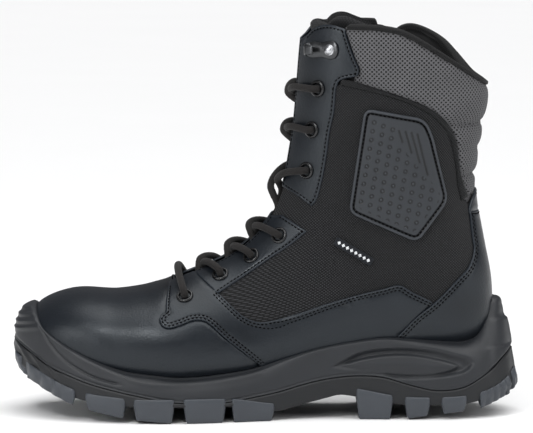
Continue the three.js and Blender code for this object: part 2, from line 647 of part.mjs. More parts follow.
const WEB = [[-156, 34], [-140, 25], [-115, 14], [-90, 10.5], [-75, 9.5], [-20, 9], [5, 5.5], [11, 6.4],
  [22, 9.5], [36, 13], [44, 14.8], [55, 13.5], [80, 9], [103, 8.5], [125, 10], [140, 15], [156, 24]];
const TREAD = [[-156, 29], [-146, 23.5], [-130, 15.5], [-115.5, 9.5], [-108, 7.6], [-85, 2.8],
  [-70, 1.2], [-49, 0], [80, 0], [92, 1.4], [106, 3.2], [120, 4.8], [128, 6], [140, 10.5], [156, 18.5]];
// plan outline of the outsole, toe to heel: [x, distance from the centre line]
const OUTER_EDGE = [[-154.5, -8], [-152, 8], [-143, 24], [-128, 38], [-105, 48.5], [-80, 54], [-56, 55],
  [-30, 51.2], [0, 43.5], [30, 38.5], [60, 37], [90, 38], [115, 37.5], [135, 31], [148, 19],
  [154.5, 0]];
const INNER_EDGE = [[-154.5, 8], [-152.5, 18], [-144, 30], [-128, 40.5], [-105, 48], [-80, 52.5],
  [-56, 51.2], [-30, 45], [0, 37], [30, 33], [60, 33.5], [90, 36.5], [115, 36.5], [135, 30.5],
  [148, 19], [154.5, 0]];
const SOLE_STEPS = 22;
// each lug row seen from the side: [front, back] at the tread
const LUG_ROWS = [[-166, -115.5], [-108, -85], [-79, -55.7], [-49, -25], [-20.3, 4], [54.7, 75.5],
  [84, 98], [106, 120], [128, 166]];
const LUG_FLARE = 2.2; // each side, up to the web
const LUG_DRAFT = 2.5; // the lug sides lean in towards the ground
const CHANNEL = 6; // two grooves along the tread
const CHANNEL_AT = 17; // distance of each from the centre line
const CUP_WALL = 2.9; // midsole under the toe, where the outsole turns up

const curve = (points) => new THREE.CatmullRomCurve3(
  points.map(([x, z]) => new THREE.Vector3(scaleX(x), 0, z)), false, 'centripetal');

// height of a side line at x
function lineHeight(points) {
  const samples = curve(points).getPoints(points.length * 8);
  return (x) => {
    const i = samples.findIndex((p) => p.x >= x);
    if (i === 0) return samples[0].z;
    if (i < 0) return samples[samples.length - 1].z;
    const [a, b] = [samples[i - 1], samples[i]];
    return a.z + ((b.z - a.z) * (x - a.x)) / (b.x - a.x);
  };
}

const partingHeight = lineHeight(PARTING);
const webHeight = lineHeight(WEB);
const treadLine = lineHeight(TREAD);
const treadHeight = (x) => Math.max(0, treadLine(x)); // the ground

// shares of an edge's length, closer together at the toe and the heel
function stepShare(k) {
  const turn = (Math.PI * k) / SOLE_STEPS;
  return 0.5 - 0.5 * Math.cos(turn) * (1 - 0.12 * Math.sin(turn));
}

// one side of the plan outline, moved outwards by spread, at the height of a side line
function edgeRow(edge, medial, spread, height) {
  const path = curve(edge);
  const side = medial ? 1 : -1;
  return Array.from({ length: SOLE_STEPS + 1 }, (_, k) => {
    const share = stepShare(k);
    const p = path.getPointAt(share);
    const t = path.getTangentAt(share);
    const x = p.x - t.z * spread;
    const y = k === 0 || k === SOLE_STEPS ? p.z : p.z + t.x * spread;
    return new THREE.Vector3(x, side * y, height(x));
  });
}

function ring(spread, height) {
  const outer = edgeRow(OUTER_EDGE, false, spread, height);
  const inner = edgeRow(INNER_EDGE, true, spread, height);
  return { outer, inner };
}

// the ring where the midsole's lip lies on the leather
function rimRing() {
  const path = curve(RIM_LINE);
  const row = (medial) => Array.from({ length: SOLE_STEPS + 1 }, (_, k) => {
    const p = path.getPointAt(stepShare(k));
    const width = k === 0 || k === SOLE_STEPS ? 0 : widthAt(p.x, p.z, medial, LIP);
    return new THREE.Vector3(p.x, medial ? width : -width, p.z);
  });
  const pair = { outer: row(false), inner: row(true) };
  const noseBias = STATIONS[0].bias;
  pair.outer[0].y = pair.inner[0].y = noseBias;
  return pair;
}

// rings between two rings; share 1 reaches the upper one, bulge 0..1 keeps the wall out
function between(low, high, share) {
  const drawIn = 1 - Math.sqrt(1 - share ** 2);
  const mix = (a, b) => a.map((p, i) => new THREE.Vector3(
    p.x + (b[i].x - p.x) * drawIn,
    p.y + (b[i].y - p.y) * drawIn,
    p.z + (b[i].z - p.z) * share));
  return { outer: mix(low.outer, high.outer), inner: mix(low.inner, high.inner) };
}

// closed body through rings, bottom to top; both ends are flat across the boot
function ringBody(rings) {
  const points = [];
  const triangles = [];
  const n = SOLE_STEPS;
  const starts = rings.map(({ outer, inner }) => {
    const start = points.length;
    points.push(...outer, ...inner.slice(1, n));
    return start;
  });
  const outerAt = (r, k) => starts[r] + k;
  const innerAt = (r, k) => (k === 0 || k === n ? starts[r] + k : starts[r] + n + k);
  const quad = (a, b, c, d) => {
    if (a !== b && b !== c) triangles.push([a, b, c]);
    if (c !== d && d !== a) triangles.push([a, c, d]);
  };
  for (let k = 0; k < n; k++) {
    for (let r = 0; r + 1 < rings.length; r++) {
      quad(outerAt(r, k), outerAt(r, k + 1), outerAt(r + 1, k + 1), outerAt(r + 1, k));
      quad(innerAt(r, k + 1), innerAt(r, k), innerAt(r + 1, k), innerAt(r + 1, k + 1));
    }
    const top = rings.length - 1;
    quad(outerAt(top, k), outerAt(top, k + 1), innerAt(top, k + 1), innerAt(top, k));
    quad(innerAt(0, k + 1), outerAt(0, k + 1), outerAt(0, k), innerAt(0, k));
  }
  return toSolid(meshFrom(points, triangles));
}

function addMidsole() {
  const base = ring(0, (x) => partingHeight(x) + CLEARANCE);
  const rim = rimRing();
  const levels = [0, 0.35, 0.65, 0.86, 1];
  const block = ringBody(levels.map((share) => between(base, rim, share)));
  const groove = patch(6, 9.3, Math.PI - 0.2, Math.PI + 0.2, 2 * CLEARANCE + SHANK + CLEARANCE, -1, 8, 2);
  const below = ringBody([ring(-1.5, (x) => partingHeight(x) - 30), ring(-1.5, (x) => partingHeight(x) + 1)]);
  const toeCup = sock(CUP_WALL, null).intersect(below);
  const body = block.add(toeCup).subtract(sock(CLEARANCE, null)).subtract(groove);
  add('midsole', body, MATERIAL.midsole);
  const strip = patch(6.1, 9.2, Math.PI - 0.17, Math.PI + 0.17, CLEARANCE * 2 + SHANK, CLEARANCE * 2, 8, 2);
  add('shank', strip, MATERIAL.steel);
}

function lugRow([front, back]) {
  const low = -20;
  const high = 60;
  const mid = webHeight(scaleX((front + back) / 2));
  const lean = (z) => (LUG_FLARE * z) / Math.max(6, mid);
  return prism([
    new THREE.Vector2(scaleX(front) - lean(low), low),
    new THREE.Vector2(scaleX(back) + lean(low), low),
    new THREE.Vector2(scaleX(back) + lean(high), high),
    new THREE.Vector2(scaleX(front) - lean(high), high),
  ], -REACH, REACH);
}

function addOutsole() {
  const plate = ringBody([
    ring(-1, webHeight),
    ring(0.6, (x) => partingHeight(x) - 3),
    ring(0, partingHeight),
  ]);
  const tread = ringBody([ring(-LUG_DRAFT, treadHeight), ring(0.2, (x) => partingHeight(x) - 2)]);
  const rows = LUG_ROWS.map(lugRow).reduce((sum, row) => sum.add(row));
  const channelLength = 2 * REACH + 2 * LUG_ROWS.at(-1)[0];
  const groove = new THREE.BoxGeometry(channelLength, CHANNEL, 2 * EAVES);
  const channel = (side) => toSolid(groove.clone().translate(0, side * CHANNEL_AT, 0));
  const inside = ringBody([ring(-LUG_DRAFT - 3, () => -40), ring(-LUG_DRAFT - 3, webHeight)]);
  const lugs = tread.intersect(rows).subtract(inside.intersect(channel(-1).add(channel(1))));
  const body = plate.add(lugs).subtract(sock(CUP_WALL + CLEARANCE, null));
  add('outsole', body, MATERIAL.outsole);
}

// ---------- lacing ----------
const EYELETS = [[-49, 74.8], [-27.8, 86.8], [-9.2, 97.8], [7.7, 110.2], [24, 150], [27.2, 174.6],
  [30.7, 199.5]];
const eyeletSpots = [false, true].map((medial) => (
  EYELETS.map(([x, z]) => findOnSide(scaleX(x), scaleZ(z), medial))
));

// turns a piece that stands on its own z axis so that it stands on the surface
function standOn(mesh, spot, height = 0) {
  mesh.position.copy(offsetPoint(spot.s, spot.angle, height));
  mesh.quaternion.setFromUnitVectors(new THREE.Vector3(0, 0, 1), surfaceNormal(spot.s, spot.angle));
}

const EYELET_SIDES = 8;

function ringProfile(points) {
  const closed = [...points, points[0]].map(([r, z]) => new THREE.Vector2(r, z));
  return new THREE.LatheGeometry(closed, EYELET_SIDES).rotateX(Math.PI / 2);
}

function addEyelets() {
  const bore = EYELET_BORE / 2;
  const rimRadius = bore + EYELET_RIM;
  const front = EYELET_SEAT;
  eyeletSpots.forEach((spots, m) => spots.forEach((spot, i) => {
    const washer = ringProfile([[bore, front], [rimRadius, front], [rimRadius, front + 0.3],
      [(bore + rimRadius) / 2, front + EYELET_FLANGE], [bore, front + EYELET_FLANGE]]);
    standOn(add(`eyelet_${m ? 'medial' : 'lateral'}_${i + 1}`, washer, MATERIAL.gunmetal), spot);
  }));
}

// holes through the facings under the eyelets
function eyeletHoles(medial) {
  const radius = EYELET_BORE / 2 + EYELET_BARREL;
  const hole = new THREE.CylinderGeometry(radius, radius, 12, EYELET_SIDES).rotateX(Math.PI / 2);
  return eyeletSpots[medial ? 1 : 0].map((spot) => {
    const dummy = new THREE.Mesh(hole);
    standOn(dummy, spot);
    dummy.updateMatrixWorld(true);
    return toSolid(hole.clone().applyMatrix4(dummy.matrixWorld));
  }).reduce((sum, part) => sum.add(part));
}

// heights of the lace's middle over the leather surface
const LACE_OVER = EYELET_SEAT + EYELET_FLANGE + LACE_RADIUS + LACE_SPARE;
const LACE_UNDER = -LACE_INSIDE;
const BAR_RISE = 0.3; // the straight bar at the lowest pair of eyelets lies a little higher
const BAR_REACH = 16.5;
const END_TUCK = [1.5, 0.8, 0.35]; // stations beyond the top eyelets that the tucked ends reach

// One strand from the outside of an eyelet to the inside of the next one opposite, as
// [distance from the centre line on the starting side, height over the leather].
// Where two strands cross, the lateral one passes below the medial one.
const PASS_BELOW = [[HALF_GAP + 6, LACE_OVER], [HALF_GAP + 1, LACE_RADIUS + 1.1],
  [0.7 * HALF_GAP, LACE_RADIUS - 0.7], [0.43 * HALF_GAP, -LACE_RADIUS], [0.14 * HALF_GAP, LACE_UNDER],
  [-HALF_GAP, LACE_UNDER]];
const PASS_ABOVE = [[HALF_GAP + 6, LACE_OVER], [HALF_GAP - 1, LACE_RADIUS + 1.2],
  [0.36 * HALF_GAP, LACE_RADIUS + 0.6], [0, LACE_RADIUS - 0.1], [-0.29 * HALF_GAP, 1.8 - LACE_RADIUS],
  [-0.64 * HALF_GAP, LACE_UNDER + 0.85], [-HALF_GAP, LACE_UNDER]];

function lacePath() {
  const raised = (medial, i, height) => {
    const spot = eyeletSpots[medial][i];
    return offsetPoint(spot.s, spot.angle, height);
  };
  const crossing = (medial, i) => {
    const start = eyeletSpots[medial][i];
    const end = eyeletSpots[1 - medial][i - 1];
    const y0 = raised(medial, i, 0).y;
    const y1 = raised(1 - medial, i - 1, 0).y;
    const underFacing = [-(HALF_GAP + Math.abs(y1)) / 2, LACE_UNDER + 0.1];
    const heights = [...(medial === 0 ? PASS_BELOW : PASS_ABOVE), underFacing];
    return heights.map(([across, height]) => {
      const y = Math.sign(y0) * across;
      const share = (y - y0) / (y1 - y0);
      return frontPoint(start.s + (end.s - start.s) * share, y, height);
    });
  };
  const through = (medial, i) => [LACE_UNDER + 0.4, -0.6, LACE_OVER - 0.3].map((h) => raised(medial, i, h));
  const last = EYELETS.length - 1;
  const strand = (medial) => {
    const out = END_TUCK.map((ds) => {
      const y = raised(medial, last, 0).y;
      return frontPoint(eyeletSpots[medial][last].s + ds, y * 0.92, LACE_UNDER);
    });
    let side = medial;
    for (let i = last; i >= 1; i--) {
      out.push(...through(side, i), ...crossing(side, i));
      side = 1 - side;
    }
    out.push(...through(side, 0));
    return out;
  };
  const lowest = eyeletSpots[0][0].s;
  const frontBar = [-1, 0, 1].map((side) => frontPoint(lowest, side * BAR_REACH, LACE_OVER + BAR_RISE));
  return [...strand(0), ...frontBar, ...strand(1).reverse()];
}

function addLace() {
  const points = lacePath();
  const path = new THREE.CatmullRomCurve3(points, false, 'centripetal');
  const section = new THREE.Shape(Array.from({ length: LACE_SIDES }, (_, k) => {
    const a = (2 * Math.PI * k) / LACE_SIDES;
    return new THREE.Vector2(LACE_RADIUS * Math.cos(a), LACE_RADIUS * Math.sin(a));
  }));
  const steps = Math.round(path.getLength() / (1.8 * LACE_DIAMETER));
  const tube = new THREE.ExtrudeGeometry(section, { steps, bevelEnabled: false, extrudePath: path });
  add('lace', toGeometry(toSolid(tube)), MATERIAL.lace);
}

// ---------- lace hook, keeper, label ----------
const HOOK = { x: 38, z: 223 };
const HOOK_PLATE = { front: 13, back: 5, width: 9, wall: 1.2, height: 6.2, lip: 4 };
const RIVET_RADIUS = 2.6;
const RIVET_PROFILE = [[0, 0], [1, 0], [1, 0.5], [0.7, 1.3], [0, 1.6]]; // [share of the radius, height]
const RIVET_SIDES = 10;
const KEEPER = { stations: 0.45, half: 6.5, thick: 1.2, above: 0.52 }; // above: stations over the mid eyelets
const LABEL = [[39.5, 106], [62, 93], [64.8, 97.8], [42.3, 110.8]]; // corners, [x, z]
const LABEL_THICK = 1;

// an open hook bent from plate: profile across the boot's surface, extruded to the plate's width
function hookShape() {
  const { front, back, wall, height, lip } = HOOK_PLATE;
  const shape = new THREE.Shape();
  const inner = height / 2 - wall;
  shape.moveTo(back, CLEARANCE);
  shape.lineTo(-front, CLEARANCE);
  shape.absarc(-front, CLEARANCE + height / 2, height / 2, -Math.PI / 2, -1.5 * Math.PI, true);
  shape.lineTo(-front + lip, CLEARANCE + height);
  shape.lineTo(-front + lip, CLEARANCE + height - wall);
  shape.lineTo(-front, CLEARANCE + height - wall);
  shape.absarc(-front, CLEARANCE + height / 2, inner, -1.5 * Math.PI, -Math.PI / 2, false);
  shape.lineTo(back, CLEARANCE + wall);
  return shape;
}

// a frame on the surface: x towards the back of the boot, z outwards
function surfaceFrame(spot, height) {
  const n = surfaceNormal(spot.s, spot.angle);
  const back = new THREE.Vector3(1, 0, 0).addScaledVector(n, -n.x).normalize();
  const up = new THREE.Vector3().crossVectors(n, back);
  const matrix = new THREE.Matrix4().makeBasis(back, up, n);
  return matrix.setPosition(offsetPoint(spot.s, spot.angle, height));
}

function place(mesh, matrix) {
  matrix.decompose(mesh.position, mesh.quaternion, mesh.scale);
}

function addHook(side, medial) {
  const spot = findOnSide(scaleX(HOOK.x), scaleZ(HOOK.z), medial);
  const frame = surfaceFrame(spot, CLEARANCE);
  const { width, wall } = HOOK_PLATE;
  const plate = new THREE.ExtrudeGeometry(hookShape(), {
    depth: width,
    bevelEnabled: false,
    curveSegments: 5,
  });
  plate.rotateX(Math.PI / 2).translate(0, width / 2, 0);
  place(add(`lace_hook_${side}`, plate, MATERIAL.gunmetal), frame);
  const base = CLEARANCE + wall + CLEARANCE;
  const half = RIVET_PROFILE.map(([r, h]) => new THREE.Vector2(r * RIVET_RADIUS, base + h));
  const dome = new THREE.LatheGeometry(half, RIVET_SIDES).rotateX(Math.PI / 2);
  place(add(`hook_rivet_${side}`, dome, MATERIAL.bright), frame);
}

function addTongueTrim() {
  const middle = (eyeletSpots[0][3].s + eyeletSpots[0][4].s) / 2 + KEEPER.above;
  const q = section(middle);
  const swing = Math.asin((KEEPER.half / q.lateral) ** (q.upper / 2));
  const lift = -TONGUE_TOP + CLEARANCE;
  const s0 = middle - KEEPER.stations / 2;
  const s1 = middle + KEEPER.stations / 2;
  add('lace_keeper', patch(s0, s1, -swing, swing, lift + KEEPER.thick, lift, 2, 4), MATERIAL.leather);
}

function addLabel() {
  const tag = LABEL.map((corner, i) => [corner, LABEL[(i + 1) % LABEL.length]]);
  const shell = trimmed(sock(LABEL_THICK - LEATHER, -LEATHER));
  add('label_tag', shell.intersect(oneSide(outline(tag), false)), MATERIAL.label);
}

// ---------- zip on the medial side ----------
const TAPE_DEPTH = 0.4; // tape's face below the leather surface
const TEETH_HEIGHT = 2.2;
const TOOTH_PITCH = 6;
const TOOTH_INSET = 0.7; // the chain narrows to this share between two teeth
const TAPE_PAST = { top: 4, base: 2 }; // tape beyond the ends of the chain
const TAPE_INSIDE_SLOT = 1.2;
const STOP = { half: 1.5, height: 1.8, beyond: 0.2, gap: 0.5 };
const SLIDER = { length: 11, width: 8.6, height: 5.2, wall: 1.1 };
const LUG = { start: 1.5, end: 5.5, thick: 1, at: 1.6 }; // the pair that holds the puller's eye
const PULLER = { length: 24, width: 6, thick: 1.8, eye: 1.6, eyeFront: 0.6, eyeBack: 3, pivot: 3.5 };

// straight frame of the zip: x along the chain (downwards), z outwards
function zipFrame() {
  const at = ({ x, z }) => {
    const spot = findOnSide(scaleX(x), scaleZ(z), true);
    return offsetPoint(spot.s, spot.angle, -TAPE_DEPTH);
  };
  const top = at(ZIP_TOP);
  const base = at(ZIP_BASE);
  const down = base.clone().sub(top);
  const length = down.length();
  down.normalize();
  const middleX = scaleX((ZIP_TOP.x + ZIP_BASE.x) / 2);
  const middleZ = scaleZ((ZIP_TOP.z + ZIP_BASE.z) / 2);
  const middle = findOnSide(middleX, middleZ, true);
  const n = surfaceNormal(middle.s, middle.angle);
  n.addScaledVector(down, -n.dot(down)).normalize();
  const across = new THREE.Vector3().crossVectors(n, down);
  return { matrix: new THREE.Matrix4().makeBasis(down, across, n).setPosition(top), length };
}

const bar = (x0, x1, y0, y1, z0, z1) => new THREE.BoxGeometry(x1 - x0, y1 - y0, z1 - z0)
  .translate((x0 + x1) / 2, (y0 + y1) / 2, (z0 + z1) / 2);

function addZip() {
  const { matrix, length } = zipFrame();
  const half = TEETH_WIDTH / 2;
  const edge = ZIP_SLOT / 2 - TAPE_INSIDE_SLOT;
  const tape = (y0, y1) => bar(-TAPE_PAST.top, length + TAPE_PAST.base, y0, y1, -TAPE, 0);
  place(add('zip_tape_front', tape(half + CLEARANCE, edge), MATERIAL.zip), matrix);
  place(add('zip_tape_rear', tape(-edge, -half - CLEARANCE), MATERIAL.zip), matrix);
  const chainLength = length - STOP.half - STOP.gap;
  const count = 2 * Math.round(chainLength / TOOTH_PITCH);
  const wave = Array.from({ length: count }, (_, i) => (
    new THREE.Vector2((chainLength * i) / (count - 1), i % 2 ? half : half * TOOTH_INSET)
  ));
  const mirrored = wave.map((p) => new THREE.Vector2(p.x, -p.y)).reverse();
  const chain = new THREE.ExtrudeGeometry(new THREE.Shape([...wave, ...mirrored]), {
    depth: TEETH_HEIGHT,
    bevelEnabled: false,
  });
  place(add('zip_teeth', toGeometry(toSolid(chain.translate(0, 0, -TAPE))), MATERIAL.zip), matrix);
  const stopSide = half + STOP.beyond;
  const stop = bar(length - STOP.half, length + STOP.half, -stopSide, stopSide, CLEARANCE, STOP.height);
  place(add('zip_bottom_stop', stop, MATERIAL.gunmetal), matrix);

  const { length: long, width, height, wall } = SLIDER;
  const floor = TEETH_HEIGHT - TAPE + CLEARANCE;
  const strut = (x0, x1, y, thick, z0, z1) => toSolid(bar(x0, x1, y - thick / 2, y + thick / 2, z0, z1));
  const cheekAt = half + 2 * CLEARANCE + wall / 2;
  const body = [-1, 1].reduce((sum, side) => sum
    .add(strut(0, long, side * cheekAt, wall, CLEARANCE, floor + wall))
    .add(strut(LUG.start, LUG.end, side * LUG.at, LUG.thick, floor, floor + height - wall)),
  strut(0, long, 0, width, floor, floor + wall));
  place(add('zip_slider', body, MATERIAL.gunmetal), matrix);

  const low = floor + wall + CLEARANCE;
  const high = low + PULLER.thick;
  const eye = strut(PULLER.pivot - PULLER.eyeFront, PULLER.pivot + PULLER.eyeBack, 0, PULLER.eye, low, high);
  const grip = strut(PULLER.pivot + PULLER.eyeBack, PULLER.pivot + PULLER.length, 0, PULLER.width, low, high);
  place(add('zip_puller', eye.add(grip), MATERIAL.gunmetal), matrix);
}

addOutsole();
addMidsole();
addVamp();
addFacings('lateral', false);
addFacings('medial', true);
addHeel();
addQuarters();
addCollar();
addBinding();
addInner();
addEyelets();
addLace();
addHook('lateral', false);
addHook('medial', true);
addTongueTrim();
addLabel();
addZip();

export default boot;
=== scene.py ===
import json
import math
import bpy
import numpy as np
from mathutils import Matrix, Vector
from mathutils.geometry import delaunay_2d_cdt


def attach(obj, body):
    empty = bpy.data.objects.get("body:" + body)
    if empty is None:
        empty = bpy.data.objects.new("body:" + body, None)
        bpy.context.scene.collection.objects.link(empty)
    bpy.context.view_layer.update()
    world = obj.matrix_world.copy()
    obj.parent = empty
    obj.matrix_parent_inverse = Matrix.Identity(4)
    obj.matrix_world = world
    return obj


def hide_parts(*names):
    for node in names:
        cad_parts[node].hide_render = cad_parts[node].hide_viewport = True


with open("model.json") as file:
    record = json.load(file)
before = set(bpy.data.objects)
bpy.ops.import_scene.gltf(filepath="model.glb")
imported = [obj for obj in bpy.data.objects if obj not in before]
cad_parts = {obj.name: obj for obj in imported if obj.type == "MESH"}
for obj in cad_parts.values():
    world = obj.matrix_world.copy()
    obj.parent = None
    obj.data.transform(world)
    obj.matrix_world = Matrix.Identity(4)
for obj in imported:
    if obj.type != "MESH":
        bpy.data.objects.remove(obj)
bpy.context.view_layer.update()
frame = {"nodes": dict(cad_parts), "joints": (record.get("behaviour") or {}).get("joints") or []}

# Steel toe work boot. Shapes are worked out in millimetres in the frame's axes and stored in metres:
# +Z up, toe towards -X, outer (lateral) side towards -Y.
MM = 0.001
PI = math.pi

# ---------- the upper's surface ----------
# One row for each station: front and top line x, z; sole and back line x, z; half widths (lateral,
# medial); centre line; share where the section is widest; section exponents (top side, sole side).
STATIONS = np.array([
    (-147.5, 47, -147.5, 47, 0, 0, 5, 0.55, 2, 2),
    (-143.5, 61, -142, 36, 24, 24, 5, 0.55, 2.1, 2.6),
    (-134, 69.5, -129, 29.5, 36, 36, 4, 0.58, 2.2, 2.9),
    (-115, 75, -110, 24.5, 45, 44, 3, 0.6, 2.2, 3),
    (-92, 74.5, -84, 21.5, 50.5, 49, 1, 0.62, 2.2, 3),
    (-66, 80, -55, 20, 53, 49.5, -1, 0.62, 2.1, 3),
    (-46, 88, -20, 22, 48, 44, -1, 0.6, 2.1, 3),
    (-27, 97, 18, 28, 41, 38, 0, 0.58, 2.1, 3),
    (-12, 109, 60, 34, 38, 36, 0, 0.55, 2.1, 2.8),
    (-1, 124, 105, 37.5, 38, 36, 0, 0.52, 2.1, 2.6),
    (6, 141, 134, 46, 39, 37, 0, 0.5, 2.2, 2.4),
    (11, 162, 137, 76, 41, 39, 0, 0.5, 2.3, 2.3),
    (14, 180, 132.5, 103, 42, 40, 0, 0.5, 2.3, 2.3),
    (16, 200, 127, 134, 43, 41, 0, 0.5, 2.3, 2.2),
    (18, 222, 128, 163, 45, 43, 0, 0.5, 2.3, 2.2),
    (20, 240, 132, 190, 46, 44, 0, 0.5, 2.3, 2.2),
    (22, 258, 134, 216, 47, 45, 0, 0.5, 2.3, 2.2),
])
LAST = len(STATIONS) - 1
FINE = 40  # table rows between two stations


def station_table():
    """Catmull-Rom values of every column, lightly smoothed so that no station shows as a crease."""
    first = 2 * STATIONS[0] - STATIONS[1]
    last = 2 * STATIONS[-1] - STATIONS[-2]
    padded = np.vstack([first, STATIONS, last])
    rows = []
    for i in range(LAST):
        a, b, c, d = padded[i:i + 4]
        for f in np.arange(FINE) / FINE:
            square = 2 * a - 5 * b + 4 * c - d
            cube = 3 * b - a - 3 * c + d
            rows.append(0.5 * (2 * b + (c - a) * f + square * f ** 2 + cube * f ** 3))
    rows.append(STATIONS[-1])
    table = np.array(rows)
    reach = FINE // 2
    kernel = np.exp(-0.5 * (np.arange(-reach, reach + 1) / (0.22 * FINE)) ** 2)
    kernel /= kernel.sum()
    front = 2 * table[0] - table[reach:0:-1]
    back = 2 * table[-1] - table[-2:-reach - 2:-1]
    long = np.vstack([front, table, back])
    return np.column_stack([np.convolve(long[:, k], kernel, "valid") for k in range(table.shape[1])])


TABLE = station_table()
TABLE_S = np.linspace(0, LAST, len(TABLE))


def section(s):
    return [np.interp(s, TABLE_S, TABLE[:, k]) for k in range(TABLE.shape[1])]


def point(s, a):
    """Surface points; angle 0 is the top line, pi the sole line, 0..pi the lateral side."""
    s, a = np.broadcast_arrays(np.asarray(s, float), np.asarray(a, float))
    tx, tz, bx, bz, lateral, medial, bias, belly, upper, lower = section(s)
    turn = np.mod(a + PI, 2 * PI) - PI
    c = np.cos(turn)
    power = 2 / np.where(c >= 0, upper, lower)
    along = np.abs(c) ** power
    out = np.abs(np.sin(turn)) ** power
    share = np.where(c >= 0, belly * (1 - along), belly + (1 - belly) * along)
    y = bias + np.where(turn < 0, medial, -lateral) * out
    return np.stack([tx + (bx - tx) * share, y, tz + (bz - tz) * share], -1)


def slopes(s, a, h=0.02):
    low, high = np.maximum(0.05, s - h), np.minimum(LAST, s + h)
    along = (point(high, a) - point(low, a)) / (high - low)[..., None]
    around = (point(s, a + h) - point(s, a - h)) / (2 * h)
    return along, around


def unit(v):
    return v / np.maximum(1e-9, np.linalg.norm(v, axis=-1, keepdims=True))


def normal(s, a):
    along, around = slopes(np.asarray(s, float), np.asarray(a, float))
    return -unit(np.cross(along, around))


def raised(s, a, height):
    return point(s, a) + normal(s, a) * np.asarray(height, float)[..., None]


def moved(sa, vectors):
    """Surface coordinates after a small move along the surface, in millimetres."""
    along, around = slopes(sa[:, 0], sa[:, 1])
    aa, bb, ab = (along ** 2).sum(1), (around ** 2).sum(1), (along * around).sum(1)
    va, vb = (vectors * along).sum(1), (vectors * around).sum(1)
    det = np.maximum(1e-6, aa * bb - ab ** 2)
    step = np.column_stack([(va * bb - vb * ab) / det, (vb * aa - va * ab) / det])
    return np.column_stack([np.clip(sa[:, 0] + step[:, 0], 0.3, LAST), sa[:, 1] + step[:, 1]])


def on_side(points, medial=False):
    """Station and angle of the surface points that a side view shows at [x, z]; misses are dropped."""
    found = []
    tx, tz, bx, bz = (TABLE[:, k] for k in range(4))
    for x, z in points:
        miss = (bx - tx) * (z - tz) - (bz - tz) * (x - tx)
        for i in np.nonzero(miss[:-1] * miss[1:] <= 0)[0]:
            f = miss[i] / (miss[i] - miss[i + 1] + 1e-12)
            s = TABLE_S[i] + f * (TABLE_S[1] - TABLE_S[0])
            if s < 0.05:
                continue
            qx, qz, rx, rz, _, _, _, belly, upper, lower = section(s)
            share = ((x - qx) * (rx - qx) + (z - qz) * (rz - qz)) / ((rx - qx) ** 2 + (rz - qz) ** 2)
            if not 0 <= share <= 1:
                continue
            if share <= belly:
                t = math.acos(min(1, (1 - share / belly) ** (upper / 2)))
            else:
                t = math.acos(-min(1, ((share - belly) / (1 - belly)) ** (lower / 2)))
            found.append((s, 2 * PI - t if medial else t))
            break
    return np.array(found)


def front_angle(s, y):
    """Angle of the point over the instep at the signed distance y from the centre line."""
    _, _, _, _, lateral, medial, bias, _, upper, _ = section(s)
    off = y - bias
    reach = np.clip(np.abs(off) / np.where(off > 0, medial, lateral), 0, 1)
    return -np.sign(off) * np.arcsin(reach ** (upper / 2))


# ---------- lines ----------
def lengths(points):
    """Distance along a polyline at each of its points."""
    return np.concatenate([[0], np.cumsum(np.linalg.norm(np.diff(points, axis=0), axis=1))])


def resample(points, step):
    length = lengths(points)
    count = max(2, int(round(length[-1] / step)) + 1)
    at = np.linspace(0, length[-1], count)
    return np.column_stack([np.interp(at, length, points[:, k]) for k in range(points.shape[1])])


def spline(points, step=1.2):
    """Centripetal Catmull-Rom curve through the points, in even steps."""
    p = np.asarray(points, float)
    if len(p) < 3:
        return resample(p, step)
    gaps = np.maximum(1e-4, np.linalg.norm(np.diff(p, axis=0), axis=1))
    knots = np.concatenate([[0], np.cumsum(gaps ** 0.5)])
    speed = np.diff(p, axis=0) / np.diff(knots)[:, None]
    tangent = np.vstack([speed[:1], np.zeros_like(speed[1:]), speed[-1:]])
    for i in range(1, len(p) - 1):
        before, after = knots[i] - knots[i - 1], knots[i + 1] - knots[i]
        tangent[i] = (speed[i - 1] * after + speed[i] * before) / (before + after)
    out = []
    for i in range(len(p) - 1):
        width = knots[i + 1] - knots[i]
        f = np.linspace(0, 1, 24, endpoint=False)[:, None]
        out.append((2 * f ** 3 - 3 * f ** 2 + 1) * p[i] + (f ** 3 - 2 * f ** 2 + f) * width * tangent[i]
                   + (3 * f ** 2 - 2 * f ** 3) * p[i + 1] + (f ** 3 - f ** 2) * width * tangent[i + 1])
    return resample(np.vstack(out + [p[-1:]]), step)


def rounded(corners, radius, step=0.8):
    """A closed outline with round corners."""
    p = np.asarray(corners, float)
    out = []
    for i in range(len(p)):
        a, b, c = p[i - 1], p[i], p[(i + 1) % len(p)]
        u, v = unit(a - b), unit(c - b)
        for f in np.linspace(0, 1, 9):
            out.append((1 - f) ** 2 * (b + u * radius) + 2 * f * (1 - f) * b + f ** 2 * (b + v * radius))
    return resample(np.vstack(out + [out[0]]), step)[:-1]


def side_run(points, medial=False, step=1.2):
    return on_side(spline(points, step), medial)


def straight_run(points, medial=False):
    return on_side(resample(np.asarray(points, float), 1.2), medial)


def across_run(start, end, station):
    """A run over the centre line from one surface point to another, through a station at its middle."""
    middle = np.array([station, (start[1] + end[1]) / 2])
    f = np.linspace(0, 1, 25)[:, None]
    return (1 - f) ** 2 * start + 2 * f * (1 - f) * middle + f ** 2 * end


HALF_GAP = 14  # the facings end this far from the centre line


def facing_station(z):
    """The station where the facing's edge is at height z."""
    s = np.linspace(4, LAST, 600)
    heights = point(s, front_angle(s, np.full_like(s, -HALF_GAP)))[:, 2]
    return float(np.interp(z, heights, s))


def facing_run(z0, z1, medial=False):
    s = np.linspace(facing_station(z0), facing_station(z1), max(3, int(abs(z1 - z0) / 0.9)))
    a = front_angle(s, np.full_like(s, HALF_GAP if medial else -HALF_GAP))
    return np.column_stack([s, np.where(a < 0, a + 2 * PI, a) if medial else a])


